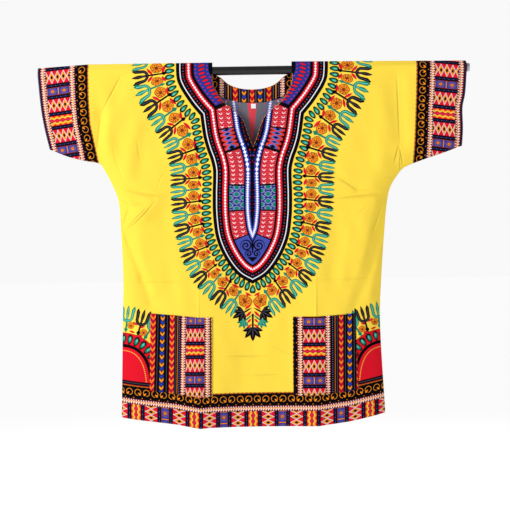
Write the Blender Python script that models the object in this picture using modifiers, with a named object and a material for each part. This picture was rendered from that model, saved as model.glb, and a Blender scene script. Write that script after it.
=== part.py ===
"""Dashiki shirt on a hanging rod.

The shirt is a front and a back panel, each cut in one piece with its half of both sleeves, and sewn together
along the shoulders, under the sleeves and down the sides. It hangs flat over a round rod that runs through
its sleeves, with two patch pockets on the front and a facing inside the neck.

Units are metres. The origin is on the rod's axis at the middle of the neck. +X is to the right as seen from
the front, -Y is the front and +Z is up.
"""

import math

import bpy
import numpy as np

COLLECTION = "dashiki_shirt_on_rod"

CLOTH = 0.0012  # wall of the printed cotton
FACING = 0.0010  # wall of the facings and the label
GAP = 0.0003  # left between pieces that touch

ROD_RADIUS = 0.009
ROD_LEFT = -0.338
ROD_RIGHT = 0.450
ROD_SIDES = 48

NECK_HALF_WIDTH = 0.082  # at the shoulder seam
ARMPIT_X = 0.311
CUFF_X = 0.443  # at the shoulder fold
LEAN = 0.0125  # the shirt hangs plumb while the rod is a little off level
CURVE_STEPS = 6  # straight pieces in each span of a smooth outline
SEAM_ROUNDING = 0.050  # the panels draw together over this distance from a seam
SEAM_BACKWARD = 0.006  # how far back the side seams hang


def table(columns, *rows):
    """A short table as one array for each named column."""
    return dict(zip(columns.split(), np.array(rows, float).T))


# The shoulder fold along the rod: its height over the rod's axis, and half the room inside the cloth there
SHOULDER = table(
    "x height room",
    (-0.443, 0.0103, 0.0050),
    (-0.338, 0.0168, 0.0095),
    (0.080, 0.0165, 0.0095),
    (0.443, 0.0128, 0.0095),
)
PINCH = 0.0015  # height of the pressed shoulder seam
ROD_TOUCH_ANGLES = (20, 0)  # degrees above level at which a section follows the rod
WRAP_FOOT = -0.005  # where the cloth leaves the rod

# Neck edges, from the middle out to the shoulder
FRONT_NECK = table(
    "out z",
    (0.0000, -0.160),
    (0.0090, -0.138),
    (0.0200, -0.106),
    (0.0290, -0.093),
    (0.0430, -0.080),
    (0.0615, -0.065),
    (0.0770, -0.040),
    (0.0835, -0.020),
    (NECK_HALF_WIDTH, WRAP_FOOT),
)
BACK_NECK = table(
    "out z",
    (0.0000, -0.0385),
    (0.0200, -0.0370),
    (0.0375, -0.0325),
    (0.0520, -0.0250),
    (0.0670, -0.0120),
    (NECK_HALF_WIDTH, WRAP_FOOT),
)

# Outlines of the left half (-1, where x is below 0) and of the right half (1)
CUFF = {
    -1: table(
        "x z",
        (-CUFF_X, WRAP_FOOT),
        (-0.4395, -0.048),
        (-0.4360, -0.080),
        (-0.4300, -0.114),
        (-0.4210, -0.157),
    ),
    1: table(
        "x z",
        (CUFF_X, WRAP_FOOT),
        (0.4385, -0.055),
        (0.4325, -0.085),
        (0.4330, -0.127),
        (0.4320, -0.162),
    ),
}
# The seam of each half, in from the cuff under the sleeve, then down the side from row ARMPIT_ROW, the armpit
SEAM = {
    -1: table(
        "x z",
        (-0.4210, -0.157),
        (-0.3840, -0.172),
        (-0.3500, -0.181),
        (-0.3200, -0.187),
        (-0.3090, -0.200),
        (-0.2905, -0.236),
        (-0.2790, -0.272),
        (-0.2755, -0.340),
        (-0.2730, -0.430),
        (-0.2760, -0.530),
        (-0.2810, -0.7145),
    ),
    1: table(
        "x z",
        (0.4320, -0.162),
        (0.3930, -0.176),
        (0.3500, -0.190),
        (0.3180, -0.202),
        (0.3040, -0.212),
        (0.2825, -0.244),
        (0.2740, -0.280),
        (0.2680, -0.340),
        (0.2610, -0.430),
        (0.2570, -0.530),
        (0.2650, -0.7128),
    ),
}
ARMPIT_ROW = 4
HEM = table(
    "x z",
    (-0.2810, -0.7145),
    (-0.1680, -0.7285),
    (-0.1185, -0.7376),
    (-0.0940, -0.7360),
    (0.1285, -0.7355),
    (0.1905, -0.7280),
    (0.2650, -0.7128),
)

# How far each panel stands off the seams' plane, below the rod
FULLNESS = {
    "front": table("z out", (-0.740, 0.0045), (-0.300, 0.0040), (-0.100, 0.0020), (0.0, 0.0)),
    "back": table("z out", (-0.740, 0.0060), (-0.300, 0.0050), (-0.100, 0.0020), (0.0, 0.0)),
}

# Pressed ridges that run down the lower body: their place at the hem, and their height and reach there
RIDGES = {
    "front": table("x height reach", (-0.1166, 0.0120, 0.110), (0.1215, 0.0120, 0.110)),
    "back": table("x height reach", (-0.1166, 0.0060, 0.100), (0.1215, 0.0070, 0.100)),
}
RIDGE_TOP = -0.22
RIDGE_FULL = -0.66

# Softer folds, each along a straight line: a positive height stands out and a negative one is a trough
FOLDS = {
    "front": table(
        "x0 z0 x1 z1 width height",
        (-0.270, -0.020, -0.312, -0.090, 0.018, -0.0030),  # across the left sleeve
        (0.298, -0.020, 0.304, -0.150, 0.018, -0.0030),  # down the right sleeve
        (-0.271, -0.328, -0.218, -0.480, 0.024, -0.0045),  # below the left armpit
        (-0.262, -0.318, -0.202, -0.268, 0.018, 0.0035),  # up from the left armpit
        (0.252, -0.275, 0.181, -0.500, 0.026, 0.0045),  # below the right armpit
        (0.273, -0.310, 0.205, -0.490, 0.022, -0.0050),  # the trough beside it
        (-0.255, -0.436, -0.130, -0.437, 0.012, -0.0015),  # where it was folded for its packet
        (0.135, -0.436, 0.255, -0.435, 0.012, -0.0015),
    ),
    "back": table(
        "x0 z0 x1 z1 width height",
        (-0.290, -0.020, -0.305, -0.140, 0.020, -0.0030),
        (0.285, -0.020, 0.302, -0.130, 0.020, -0.0030),
        (-0.262, -0.300, -0.190, -0.500, 0.026, 0.0045),
        (0.258, -0.305, 0.200, -0.470, 0.026, 0.0045),
        (-0.240, -0.436, 0.230, -0.435, 0.014, -0.0015),
    ),
}

# Columns of the grid over one half: shares of the way to the side seam, and how many there are elsewhere
BODY_COLUMNS = {
    -1: (0, 0.07, 0.14, 0.22, 0.308, 0.395, 0.47, 0.55, 0.63, 0.705, 0.785, 0.865, 0.935, 0.978, 1),
    1: (0, 0.07, 0.14, 0.22, 0.310, 0.400, 0.493, 0.565, 0.64, 0.720, 0.805, 0.880, 0.945, 0.982, 1),
}
NECK_COLUMN = 8  # the column that starts at the shoulder end of the neck
ARMPIT_COLUMN = len(BODY_COLUMNS[1]) - 1
SLEEVE_COLUMNS = 8
LAST_COLUMN = ARMPIT_COLUMN + SLEEVE_COLUMNS

# Rows: shares of the way from the rod or the neck to the armpits, and from there to the hem
UPPER_ROWS = (0, 0.06, 0.16, 0.30, 0.46, 0.62, 0.77, 0.88, 0.955, 1)
LOWER_ROWS = (0, 0.025, 0.06, 0.10, 0.15, 0.22, 0.30, 0.39, 0.48, 0.573, 0.648, 0.723, 0.798, 0.873, 0.94, 1)

POCKET_COLUMNS = (4, 10)
POCKET_ROWS = (LOWER_ROWS.index(0.573), LOWER_ROWS.index(0.873))
FACING_LAST_ROW = 2

LABEL_WIDTH = 0.0100
LABEL_HEIGHT = 0.0100
LABEL_X = 0.002
LABEL_TOP = -0.0675

# Plain colours of the pieces, with their roughness and metallic value
FINISHES = {
    "cloth_yellow": ((0.84, 0.66, 0.06), 0.85, 0.0),
    "cloth_pocket": ((0.42, 0.06, 0.05), 0.85, 0.0),
    "cloth_facing": ((0.05, 0.04, 0.06), 0.85, 0.0),
    "label_white": ((0.88, 0.87, 0.85), 0.70, 0.0),
    "rod_black": ((0.02, 0.02, 0.022), 0.35, 0.0),
}


def smooth_step(value):
    """0 below 0, 1 above 1, and an even rise between."""
    value = np.clip(value, 0, 1)
    return value * value * (3 - 2 * value)


def rounded(path, first=0, last=None):
    """A smooth curve through the rows of a path, or the stretch of it between two rows."""
    points = np.stack(list(path.values()), axis=-1)
    before = np.concatenate([2 * points[:1] - points[1:2], points[:-2]])
    after = np.concatenate([points[2:], 2 * points[-1:] - points[-2:-1]])
    share = np.linspace(0, 1, CURVE_STEPS, endpoint=False)[:, None]
    curve = []
    for p0, p1, p2, p3 in list(zip(before, points, points[1:], after))[first:last]:
        slope, bend, twist = p2 - p0, 2 * p0 - 5 * p1 + 4 * p2 - p3, 3 * (p1 - p2) + p3 - p0
        curve.extend(p1 + share * (slope + share * (bend + share * twist)) / 2)
    curve.append(points[-1 if last is None else last])
    return dict(zip(path, np.array(curve).T))


def along(path, shares):
    """The points at these shares of the length of a path, as rows of x and z."""
    x, z = path.values()
    lengths = np.concatenate([[0], np.cumsum(np.hypot(np.diff(x), np.diff(z)))])
    at = np.array(shares) * lengths[-1]
    return np.stack([np.interp(at, lengths, x), np.interp(at, lengths, z)], axis=-1)


def at_height(path, z):
    """The x of a path that only goes down, at a height."""
    return np.interp(z, path["z"][::-1], path["x"][::-1])


def from_segment(x, z, x0, z0, x1, z1):
    """The distance of each point from a straight line with ends."""
    length_squared = (x1 - x0) ** 2 + (z1 - z0) ** 2
    share = np.clip(((x - x0) * (x1 - x0) + (z - z0) * (z1 - z0)) / length_squared, 0, 1)
    return np.hypot(x - x0 - share * (x1 - x0), z - z0 - share * (z1 - z0))


def from_seams(x, z):
    """The distance of each point from the nearest underarm or side seam."""
    nearest = np.full(np.shape(x), np.inf)
    for half in (-1, 1):
        seam_x, seam_z = rounded(SEAM[half]).values()
        for x0, z0, x1, z1 in zip(seam_x, seam_z, seam_x[1:], seam_z[1:]):
            nearest = np.minimum(nearest, from_segment(x, z, x0, z0, x1, z1))
    return nearest


def ridge_height(panel, x, z):
    """How far the pressed ridges stand out, each like a low roof that grows towards the hem."""
    growth = smooth_step((RIDGE_TOP - z) / (RIDGE_TOP - RIDGE_FULL))
    height = np.zeros(np.shape(x))
    for ridge_x, top, reach in zip(*RIDGES[panel].values()):
        away = np.abs(x - ridge_x - LEAN * (z - HEM["z"].min())) / reach
        height = height + top * np.clip(1 - away, 0, 1) ** 1.4
    return height * growth


def fold_height(panel, x, z):
    height = np.zeros(np.shape(x))
    for x0, z0, x1, z1, width, top in zip(*FOLDS[panel].values()):
        away = from_segment(x, z, x0, z0, x1, z1) / width
        height = height + top * np.exp(-(away**2))
    return height


def hang_depth(panel, x, z):
    """How far the inside of a panel hangs in front of the seams' plane, or behind it."""
    room = np.interp(x, SHOULDER["x"], SHOULDER["room"])
    fullness = np.interp(z, FULLNESS[panel]["z"], FULLNESS[panel]["out"])
    rounding = 1 - np.clip(1 - from_seams(x, z) / SEAM_ROUNDING, 0, 1) ** 2
    shape = ridge_height(panel, x, z) + fold_height(panel, x, z)
    return GAP / 2 + rounding * (room + fullness + shape)


def seam_plane(z):
    """The side seams hang a little behind the rod."""
    return SEAM_BACKWARD * smooth_step((-0.20 - z) / 0.35)


def wrap_section(x):
    """The cloth from the shoulder seam down over the rod: rows of distance from the middle and height."""
    height = np.interp(x, SHOULDER["x"], SHOULDER["height"])
    room = np.interp(x, SHOULDER["x"], SHOULDER["room"])
    peak = height - PINCH
    touch = math.acos(min(room / peak, 1))
    section = [(GAP / 2, height), (2 * GAP, peak), (room * math.sin(touch), room * math.cos(touch))]
    for degrees in ROD_TOUCH_ANGLES:
        angle = math.radians(degrees)
        section.append((room * math.cos(angle), room * math.sin(angle)))
    return section


WRAP_ROWS = len(ROD_TOUCH_ANGLES) + 3


def top_points(neck, half):
    """Where the columns start: along the neck edge, then along the rod out to the cuff."""
    path = rounded({"x": half * neck["out"], "z": neck["z"]})
    points = list(along(path, np.linspace(0, 1, NECK_COLUMN + 1)))
    for x in np.linspace(NECK_HALF_WIDTH, ARMPIT_X, ARMPIT_COLUMN - NECK_COLUMN + 1)[1:]:
        points.append((half * x, WRAP_FOOT))
    for x in np.linspace(ARMPIT_X, CUFF_X, SLEEVE_COLUMNS + 1)[1:]:
        points.append((half * x, WRAP_FOOT))
    return np.array(points)


def armpit_points(half):
    """Where the upper columns end: across the body at the armpits, then along under the sleeve."""
    armpit_x = SEAM[half]["x"][ARMPIT_ROW]
    armpit_z = SEAM[half]["z"][ARMPIT_ROW]
    middle_z = (armpit_z + SEAM[-half]["z"][ARMPIT_ROW]) / 2
    points = []
    for share in BODY_COLUMNS[half]:
        z = middle_z + share * (armpit_z - middle_z)
        points.append((LEAN * z + share * (armpit_x - LEAN * z), z))
    shares = np.linspace(1, 0, SLEEVE_COLUMNS + 1)[1:]
    return np.concatenate([points, along(rounded(SEAM[half], 0, ARMPIT_ROW), shares)])


def upper_grid(neck, half):
    """Rows from the rod or the neck down to the armpits, as x and z."""
    top = top_points(neck, half)
    bottom = armpit_points(half)
    shares = np.array(UPPER_ROWS)[:, None, None]
    grid = top + shares * (bottom - top)
    bulge = along(rounded(CUFF[half]), UPPER_ROWS) - grid[:, -1]
    columns = np.arange(LAST_COLUMN + 1)
    reach = np.clip((columns - ARMPIT_COLUMN) / SLEEVE_COLUMNS, 0, 1)
    return grid + bulge[:, None] * reach[None, :, None]


def lower_grid(half):
    """Rows from the armpits down to the hem, as x and z."""
    start = armpit_points(half)[: ARMPIT_COLUMN + 1]
    middle = LEAN * HEM["z"].min()
    end_x = middle + np.array(BODY_COLUMNS[half]) * (SEAM[half]["x"][-1] - middle)
    end_z = np.interp(end_x, HEM["x"], HEM["z"])
    side = rounded(SEAM[half], ARMPIT_ROW)
    rows = []
    for share in LOWER_ROWS[1:]:
        z = start[:, 1] + share * (end_z - start[:, 1])
        side_x = at_height(side, z[-1])
        rows.append(np.stack([LEAN * z + np.array(BODY_COLUMNS[half]) * (side_x - LEAN * z), z], axis=-1))
    return rows


class Panel:
    """The inner surface of the front or the back, as a grid of points in rows and columns."""

    def __init__(self, name, neck, out):
        self.out = out
        self.points = []
        self.number = {}
        for half in (-1, 1):
            upper = upper_grid(neck, half)
            for column in range(NECK_COLUMN, LAST_COLUMN + 1):
                x = upper[0, column, 0]
                for row, (away, z) in enumerate(wrap_section(x)):
                    self.add(row, half * column, (x, out * away, z))
            for row, cells in enumerate([*upper, *lower_grid(half)]):
                x, z = cells[:, 0], cells[:, 1]
                y = seam_plane(z) + out * hang_depth(name, x, z)
                for column, point in enumerate(zip(x, y, z)):
                    self.add(WRAP_ROWS + row, half * column, point)

    def add(self, row, column, point):
        if (row, column) not in self.number:
            self.number[row, column] = len(self.points)
            self.points.append(point)

    def faces(self, rows=None, columns=None):
        """Four-sided faces that look away from the rod, over all of the grid or a part of it."""
        found = []
        for row, column in self.number:
            if rows and not rows[0] <= row < rows[1] or columns and not columns[0] <= column < columns[1]:
                continue
            corners = ((row, column), (row + 1, column), (row + 1, column + 1), (row, column + 1))
            if all(corner in self.number for corner in corners):
                face = [self.number[corner] for corner in corners]
                found.append(face if self.out < 0 else face[::-1])
        return found


def collection():
    found = bpy.data.collections.get(COLLECTION)
    if not found:
        found = bpy.data.collections.new(COLLECTION)
        bpy.context.scene.collection.children.link(found)
    return found


def finish_of(name):
    """The plain material of a piece."""
    color, roughness, metallic = FINISHES[name]
    material = bpy.data.materials.get(name) or bpy.data.materials.new(name)
    material.use_nodes = True
    shader = material.node_tree.nodes["Principled BSDF"]
    shader.inputs["Base Color"].default_value = (*color, 1)
    shader.inputs["Roughness"].default_value = roughness
    shader.inputs["Metallic"].default_value = metallic
    return material


def cloth_piece(name, points, faces, thickness, finish):
    """A wall of cloth, thickened on the side that its faces look to."""
    used = sorted({corner for face in faces for corner in face})
    place = {old: new for new, old in enumerate(used)}
    mesh = bpy.data.meshes.new(name)
    mesh.from_pydata([points[old] for old in used], [], [[place[old] for old in face] for face in faces])
    mesh.materials.append(finish_of(finish))
    mesh.shade_smooth()
    piece = bpy.data.objects.new(name, mesh)
    collection().objects.link(piece)
    wall = piece.modifiers.new("wall", "SOLIDIFY")
    wall.thickness = thickness
    wall.offset = 1
    wall.use_even_offset = True
    return piece


def lifted(piece, panel, distance):
    """All the panel's points, moved along its normals by a distance, outward if it is above 0."""
    points = np.array(panel.points)
    normals = np.zeros_like(points)
    for vertex in piece.data.vertices:
        normals[vertex.index] = vertex.normal
    return points + distance * normals


def make_rod():
    bpy.ops.mesh.primitive_cylinder_add(
        vertices=ROD_SIDES,
        radius=ROD_RADIUS,
        depth=ROD_RIGHT - ROD_LEFT,
        location=((ROD_LEFT + ROD_RIGHT) / 2, 0, 0),
        rotation=(0, math.pi / 2, 0),
    )
    rod = bpy.context.object
    rod.name = "rod"
    rod.data.materials.append(finish_of("rod_black"))
    move_to_collection(rod)


def make_label(back):
    """A small square tag on the inside of the back, just under the facing."""
    middle_z = LABEL_TOP - LABEL_HEIGHT / 2
    ends = np.array([LABEL_TOP, LABEL_TOP - LABEL_HEIGHT])
    depth = seam_plane(ends) + hang_depth("back", np.full(2, LABEL_X), ends)
    slope = math.atan2(depth[1] - depth[0], LABEL_HEIGHT)
    y = depth.mean() - GAP - FACING / 2
    bpy.ops.mesh.primitive_cube_add(size=1, location=(LABEL_X, y, middle_z), rotation=(slope, 0, 0))
    label = bpy.context.object
    label.name = "label"
    label.scale = (LABEL_WIDTH, FACING, LABEL_HEIGHT)
    bpy.ops.object.transform_apply(location=False, rotation=False, scale=True)
    label.data.materials.append(finish_of("label_white"))
    move_to_collection(label)


def move_to_collection(piece):
    for old in piece.users_collection:
        old.objects.unlink(piece)
    collection().objects.link(piece)


def main():
    for old in list(bpy.data.objects):
        bpy.data.objects.remove(old)

    front = Panel("front", FRONT_NECK, -1)
    back = Panel("back", BACK_NECK, 1)
    front_piece = cloth_piece("front", front.points, front.faces(), CLOTH, "cloth_yellow")
    back_piece = cloth_piece("back", back.points, back.faces(), CLOTH, "cloth_yellow")

    on_front = lifted(front_piece, front, CLOTH + GAP)
    first, last = POCKET_COLUMNS
    top, bottom = (WRAP_ROWS + len(UPPER_ROWS) - 1 + row for row in POCKET_ROWS)
    for name, columns in (("pocket_left", (-last, -first)), ("pocket_right", (first, last))):
        cloth_piece(name, on_front, front.faces((top, bottom), columns), CLOTH, "cloth_pocket")

    facing_rows = (WRAP_ROWS, WRAP_ROWS + FACING_LAST_ROW)
    facing_columns = (-NECK_COLUMN, NECK_COLUMN)
    for name, panel, piece in (("front", front, front_piece), ("back", back, back_piece)):
        inward = [face[::-1] for face in panel.faces(facing_rows, facing_columns)]
        cloth_piece(name + "_neck_facing", lifted(piece, panel, -GAP), inward, FACING, "cloth_facing")

    make_label(back)
    make_rod()


main()
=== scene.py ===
# %% [markdown]
# # A dashiki shirt on a hanging rod
#
# The shirt's panels, pockets and facings are already there as plain solids in a fixed frame. Here each of
# them gets a finer shell of cotton with its creases, its wax print, its seams and its stitches.
#
# The frame is loaded first, because every piece is placed from it. Its box is kept, and is set next to the
# finished shirt's box at the end.

# %% Load the frame
import math

import bpy
import numpy as np
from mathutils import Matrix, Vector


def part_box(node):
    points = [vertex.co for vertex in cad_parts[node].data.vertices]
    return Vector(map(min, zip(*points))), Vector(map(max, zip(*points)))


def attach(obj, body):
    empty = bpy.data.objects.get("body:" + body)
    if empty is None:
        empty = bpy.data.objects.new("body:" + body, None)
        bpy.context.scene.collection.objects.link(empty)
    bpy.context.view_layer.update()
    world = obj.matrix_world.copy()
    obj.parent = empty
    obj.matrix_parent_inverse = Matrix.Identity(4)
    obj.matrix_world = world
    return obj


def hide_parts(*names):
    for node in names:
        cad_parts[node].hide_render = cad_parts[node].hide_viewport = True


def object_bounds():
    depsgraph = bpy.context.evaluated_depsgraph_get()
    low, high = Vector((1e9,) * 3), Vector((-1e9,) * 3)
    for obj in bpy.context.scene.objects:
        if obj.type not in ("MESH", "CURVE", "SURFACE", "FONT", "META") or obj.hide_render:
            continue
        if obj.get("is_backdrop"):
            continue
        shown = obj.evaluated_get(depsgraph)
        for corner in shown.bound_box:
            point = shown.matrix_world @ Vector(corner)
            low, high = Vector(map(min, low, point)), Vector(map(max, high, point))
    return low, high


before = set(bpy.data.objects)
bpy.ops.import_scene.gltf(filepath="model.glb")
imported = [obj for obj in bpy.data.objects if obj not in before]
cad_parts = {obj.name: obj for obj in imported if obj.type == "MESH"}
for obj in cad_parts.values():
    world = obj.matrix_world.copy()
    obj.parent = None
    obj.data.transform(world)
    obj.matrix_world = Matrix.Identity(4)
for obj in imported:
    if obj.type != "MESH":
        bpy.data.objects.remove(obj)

CAD_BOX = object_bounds()
scene = bpy.context.scene
print("nodes in the frame:", ", ".join(sorted(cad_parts)))

# %% [markdown]
# ## Sizes
#
# Everything is in metres. The shirt is a kimono cut: each panel holds its half of both sleeves, so its
# outline is the neck edge, the fold along the rod, the cuff, the seam under the sleeve and down the side,
# and the hem. Short tables hold the places where those lines turn, and a smooth curve is drawn through
# them.
#
# The shirt hangs plumb from a rod that is a little off level, so everything leans by a small share of its
# height.

# %% Thicknesses and lengths
CLOTH = 0.0012  # wall of the solid panels
SHELL = 0.0009  # wall of the cotton pieces
GAP = 0.0003  # left between layers that touch
LEAN = 0.0125

ROD_RADIUS = 0.009
ROD_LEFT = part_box("rod")[0][0]
ROD_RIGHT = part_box("rod")[1][0]

NECK_HALF_WIDTH = 0.082
ARMPIT_X = 0.311
CUFF_X = 0.443
WRAP_FOOT = -0.005  # where the cloth leaves the rod
SEAM_ROUNDING = 0.050  # the panels draw together over this distance from a seam
SEAM_BACKWARD = 0.006  # how far back the side seams hang
ARMPIT_ROW = 4
CURVE_STEPS = 10
print("the rod is", round(1000 * (ROD_RIGHT - ROD_LEFT)), "mm long")

# %% The outline of the cut


def table(columns, *rows):
    """A short table as one array for each named column."""
    return dict(zip(columns.split(), np.array(rows, float).T))


SHOULDER = table(
    "x height room",
    (-0.443, 0.0103, 0.0050),
    (-0.338, 0.0168, 0.0095),
    (0.080, 0.0165, 0.0095),
    (0.443, 0.0128, 0.0095),
)
FRONT_NECK = table(
    "out z",
    (0.0000, -0.160),
    (0.0090, -0.138),
    (0.0200, -0.106),
    (0.0290, -0.093),
    (0.0430, -0.080),
    (0.0615, -0.065),
    (0.0770, -0.040),
    (0.0835, -0.020),
    (NECK_HALF_WIDTH, WRAP_FOOT),
)
BACK_NECK = table(
    "out z",
    (0.0000, -0.0385),
    (0.0200, -0.0370),
    (0.0375, -0.0325),
    (0.0520, -0.0250),
    (0.0670, -0.0120),
    (NECK_HALF_WIDTH, WRAP_FOOT),
)
CUFF = {
    -1: table(
        "x z",
        (-CUFF_X, WRAP_FOOT),
        (-0.4395, -0.048),
        (-0.4360, -0.080),
        (-0.4300, -0.114),
        (-0.4210, -0.157),
    ),
    1: table(
        "x z",
        (CUFF_X, WRAP_FOOT),
        (0.4385, -0.055),
        (0.4325, -0.085),
        (0.4330, -0.127),
        (0.4320, -0.162),
    ),
}
SEAM = {
    -1: table(
        "x z",
        (-0.4210, -0.157),
        (-0.3840, -0.172),
        (-0.3500, -0.181),
        (-0.3200, -0.187),
        (-0.3090, -0.200),
        (-0.2905, -0.236),
        (-0.2790, -0.272),
        (-0.2755, -0.340),
        (-0.2730, -0.430),
        (-0.2760, -0.530),
        (-0.2810, -0.7145),
    ),
    1: table(
        "x z",
        (0.4320, -0.162),
        (0.3930, -0.176),
        (0.3500, -0.190),
        (0.3180, -0.202),
        (0.3040, -0.212),
        (0.2825, -0.244),
        (0.2740, -0.280),
        (0.2680, -0.340),
        (0.2610, -0.430),
        (0.2570, -0.530),
        (0.2650, -0.7128),
    ),
}
HEM = table(
    "x z",
    (-0.2810, -0.7145),
    (-0.1680, -0.7285),
    (-0.1185, -0.7376),
    (-0.0940, -0.7360),
    (0.1285, -0.7355),
    (0.1905, -0.7280),
    (0.2650, -0.7128),
)
print("cut:", round(2 * CUFF_X, 3), "m across the sleeves,", round(-HEM["z"].min(), 3), "m from rod to hem")

# %% [markdown]
# ## Camera, light and floor
#
# The camera looks straight at the shirt from two and a half metres, like a catalogue picture of a flat
# garment. It rolls a little, so that the rod rises to the right. Cotton has no gloss worth showing, so the
# light is one large soft source, a weaker one on the other side, one behind and a pale world. Flat light
# keeps the print's colours true, and the key stands to the left so that the creases still throw a soft shade
# to the right. The floor is a wide disc that glows nearly as white as the room, so it hardly shows.

# %% Camera
CAMERA_DISTANCE = 2.5
VIEW_WIDTH = 1.0506  # what the camera takes in at the cloth
VIEW_MIDDLE_X = 0.0002
VIEW_MIDDLE_Z = -0.382
ROLL = math.radians(0.9)
CLOTH_Y = -0.013

camera_data = bpy.data.cameras.new("camera")
camera_data.sensor_width = 36
camera_data.lens = camera_data.sensor_width * CAMERA_DISTANCE / VIEW_WIDTH
camera = bpy.data.objects.new("camera", camera_data)
camera.location = (VIEW_MIDDLE_X, CLOTH_Y - CAMERA_DISTANCE, VIEW_MIDDLE_Z)
camera.rotation_euler = (math.pi / 2, ROLL, 0)
scene.collection.objects.link(camera)
scene.camera = camera
print("lens:", round(camera_data.lens, 1), "mm")

# %% Light, world and floor
FLOOR_Z = -1.25
FLOOR_RADIUS = 40
FLOOR_GLOW = 0.88
KEY_POWER = 98
FILL_POWER = 14
BACK_POWER = 42
ROOM_LIGHT = 0.42  # how bright the room is as a lamp
BACKDROP = 0.945  # how bright the room looks behind the shirt


def soft_light(name, power, size, location, target=(0, 0, VIEW_MIDDLE_Z)):
    """A large square light that looks at a target."""
    data = bpy.data.lights.new(name, "AREA")
    data.energy = power
    data.size = size
    light = bpy.data.objects.new(name, data)
    light.location = location
    aim = np.array(target) - np.array(location)
    light.rotation_euler = (math.atan2(math.hypot(aim[0], aim[1]), -aim[2]), 0, math.atan2(-aim[0], aim[1]))
    scene.collection.objects.link(light)


soft_light("key_light", KEY_POWER, 1.3, (-2.5, -1.9, 1.0))
soft_light("fill_light", FILL_POWER, 3.0, (2.6, -2.8, 0.2))
soft_light("back_light", BACK_POWER, 3.0, (0.4, 3.2, 1.0))

world = bpy.data.worlds.new("pale_room")
world.use_nodes = True
nodes = world.node_tree.nodes
seen = nodes.new("ShaderNodeLightPath")
strength = nodes.new("ShaderNodeMapRange")
strength.inputs["To Min"].default_value = ROOM_LIGHT
strength.inputs["To Max"].default_value = BACKDROP
world.node_tree.links.new(seen.outputs["Is Camera Ray"], strength.inputs["Value"])
world.node_tree.links.new(strength.outputs[0], nodes["Background"].inputs["Strength"])
nodes["Background"].inputs["Color"].default_value = (1, 1, 1, 1)
scene.world = world
scene.view_settings.view_transform = "Standard"

bpy.ops.mesh.primitive_circle_add(
    vertices=64, radius=FLOOR_RADIUS, fill_type="NGON", location=(0, 0, FLOOR_Z)
)
floor = bpy.context.object
floor.name = "floor"
floor_paint = bpy.data.materials.new("floor_paint")
floor_paint.use_nodes = True
floor_shader = floor_paint.node_tree.nodes["Principled BSDF"]
floor_shader.inputs["Base Color"].default_value = (0.12, 0.12, 0.12, 1)
floor_shader.inputs["Roughness"].default_value = 0.9
floor_shader.inputs["Emission Color"].default_value = (1, 1, 1, 1)
floor_shader.inputs["Emission Strength"].default_value = FLOOR_GLOW
floor.data.materials.append(floor_paint)
floor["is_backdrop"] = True

# %% [markdown]
# ## How the cloth hangs
#
# On the real shirt the front and back hang as two nearly flat sheets. They meet in the seams under the
# sleeves and down the sides, and at the shoulders they stand over the rod in a pinched fold. So the form is
# a height map: at each place (x, z) it says how far the inside of a panel stands off the plane of the
# seams.
#
# The map is a sum of a few plain things: the room that the rod needs, a fullness that grows towards the hem,
# two long pressed ridges over the pockets, the folds that also show in the solids, and the small creases
# that only cotton has. Next to the seams all of it is rounded off. A cloth simulation could drape it, but it
# would lose the pressed creases and the place of the print.

# %% Large forms
FULLNESS = {
    "front": table("z out", (-0.740, 0.0045), (-0.300, 0.0040), (-0.100, 0.0020), (0.0, 0.0)),
    "back": table("z out", (-0.740, 0.0060), (-0.300, 0.0050), (-0.100, 0.0020), (0.0, 0.0)),
}
RIDGES = {
    "front": table("x height reach", (-0.1166, 0.0120, 0.110), (0.1215, 0.0120, 0.110)),
    "back": table("x height reach", (-0.1166, 0.0060, 0.100), (0.1215, 0.0070, 0.100)),
}
RIDGE_TOP = -0.22
RIDGE_FULL = -0.66
RIDGE_SHARPNESS = 1.4
FOLD_COLUMNS = "x0 z0 x1 z1 width height"
FOLDS = {
    "front": table(
        FOLD_COLUMNS,
        (-0.270, -0.020, -0.312, -0.090, 0.018, -0.0030),
        (0.298, -0.020, 0.304, -0.150, 0.018, -0.0030),
        (-0.271, -0.328, -0.218, -0.480, 0.024, -0.0045),
        (-0.262, -0.318, -0.202, -0.268, 0.018, 0.0035),
        (0.252, -0.275, 0.181, -0.500, 0.028, 0.0026),
        (0.273, -0.310, 0.205, -0.490, 0.024, -0.0026),
        (-0.255, -0.436, -0.130, -0.437, 0.012, -0.0015),
        (0.135, -0.436, 0.255, -0.435, 0.012, -0.0015),
    ),
    "back": table(
        FOLD_COLUMNS,
        (-0.290, -0.020, -0.305, -0.140, 0.020, -0.0030),
        (0.285, -0.020, 0.302, -0.130, 0.020, -0.0030),
        (-0.262, -0.300, -0.190, -0.500, 0.026, 0.0045),
        (0.258, -0.305, 0.200, -0.470, 0.026, 0.0045),
        (-0.240, -0.436, 0.230, -0.435, 0.014, -0.0015),
    ),
}
print("folds:", {panel: len(folds["x0"]) for panel, folds in FOLDS.items()})
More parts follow.
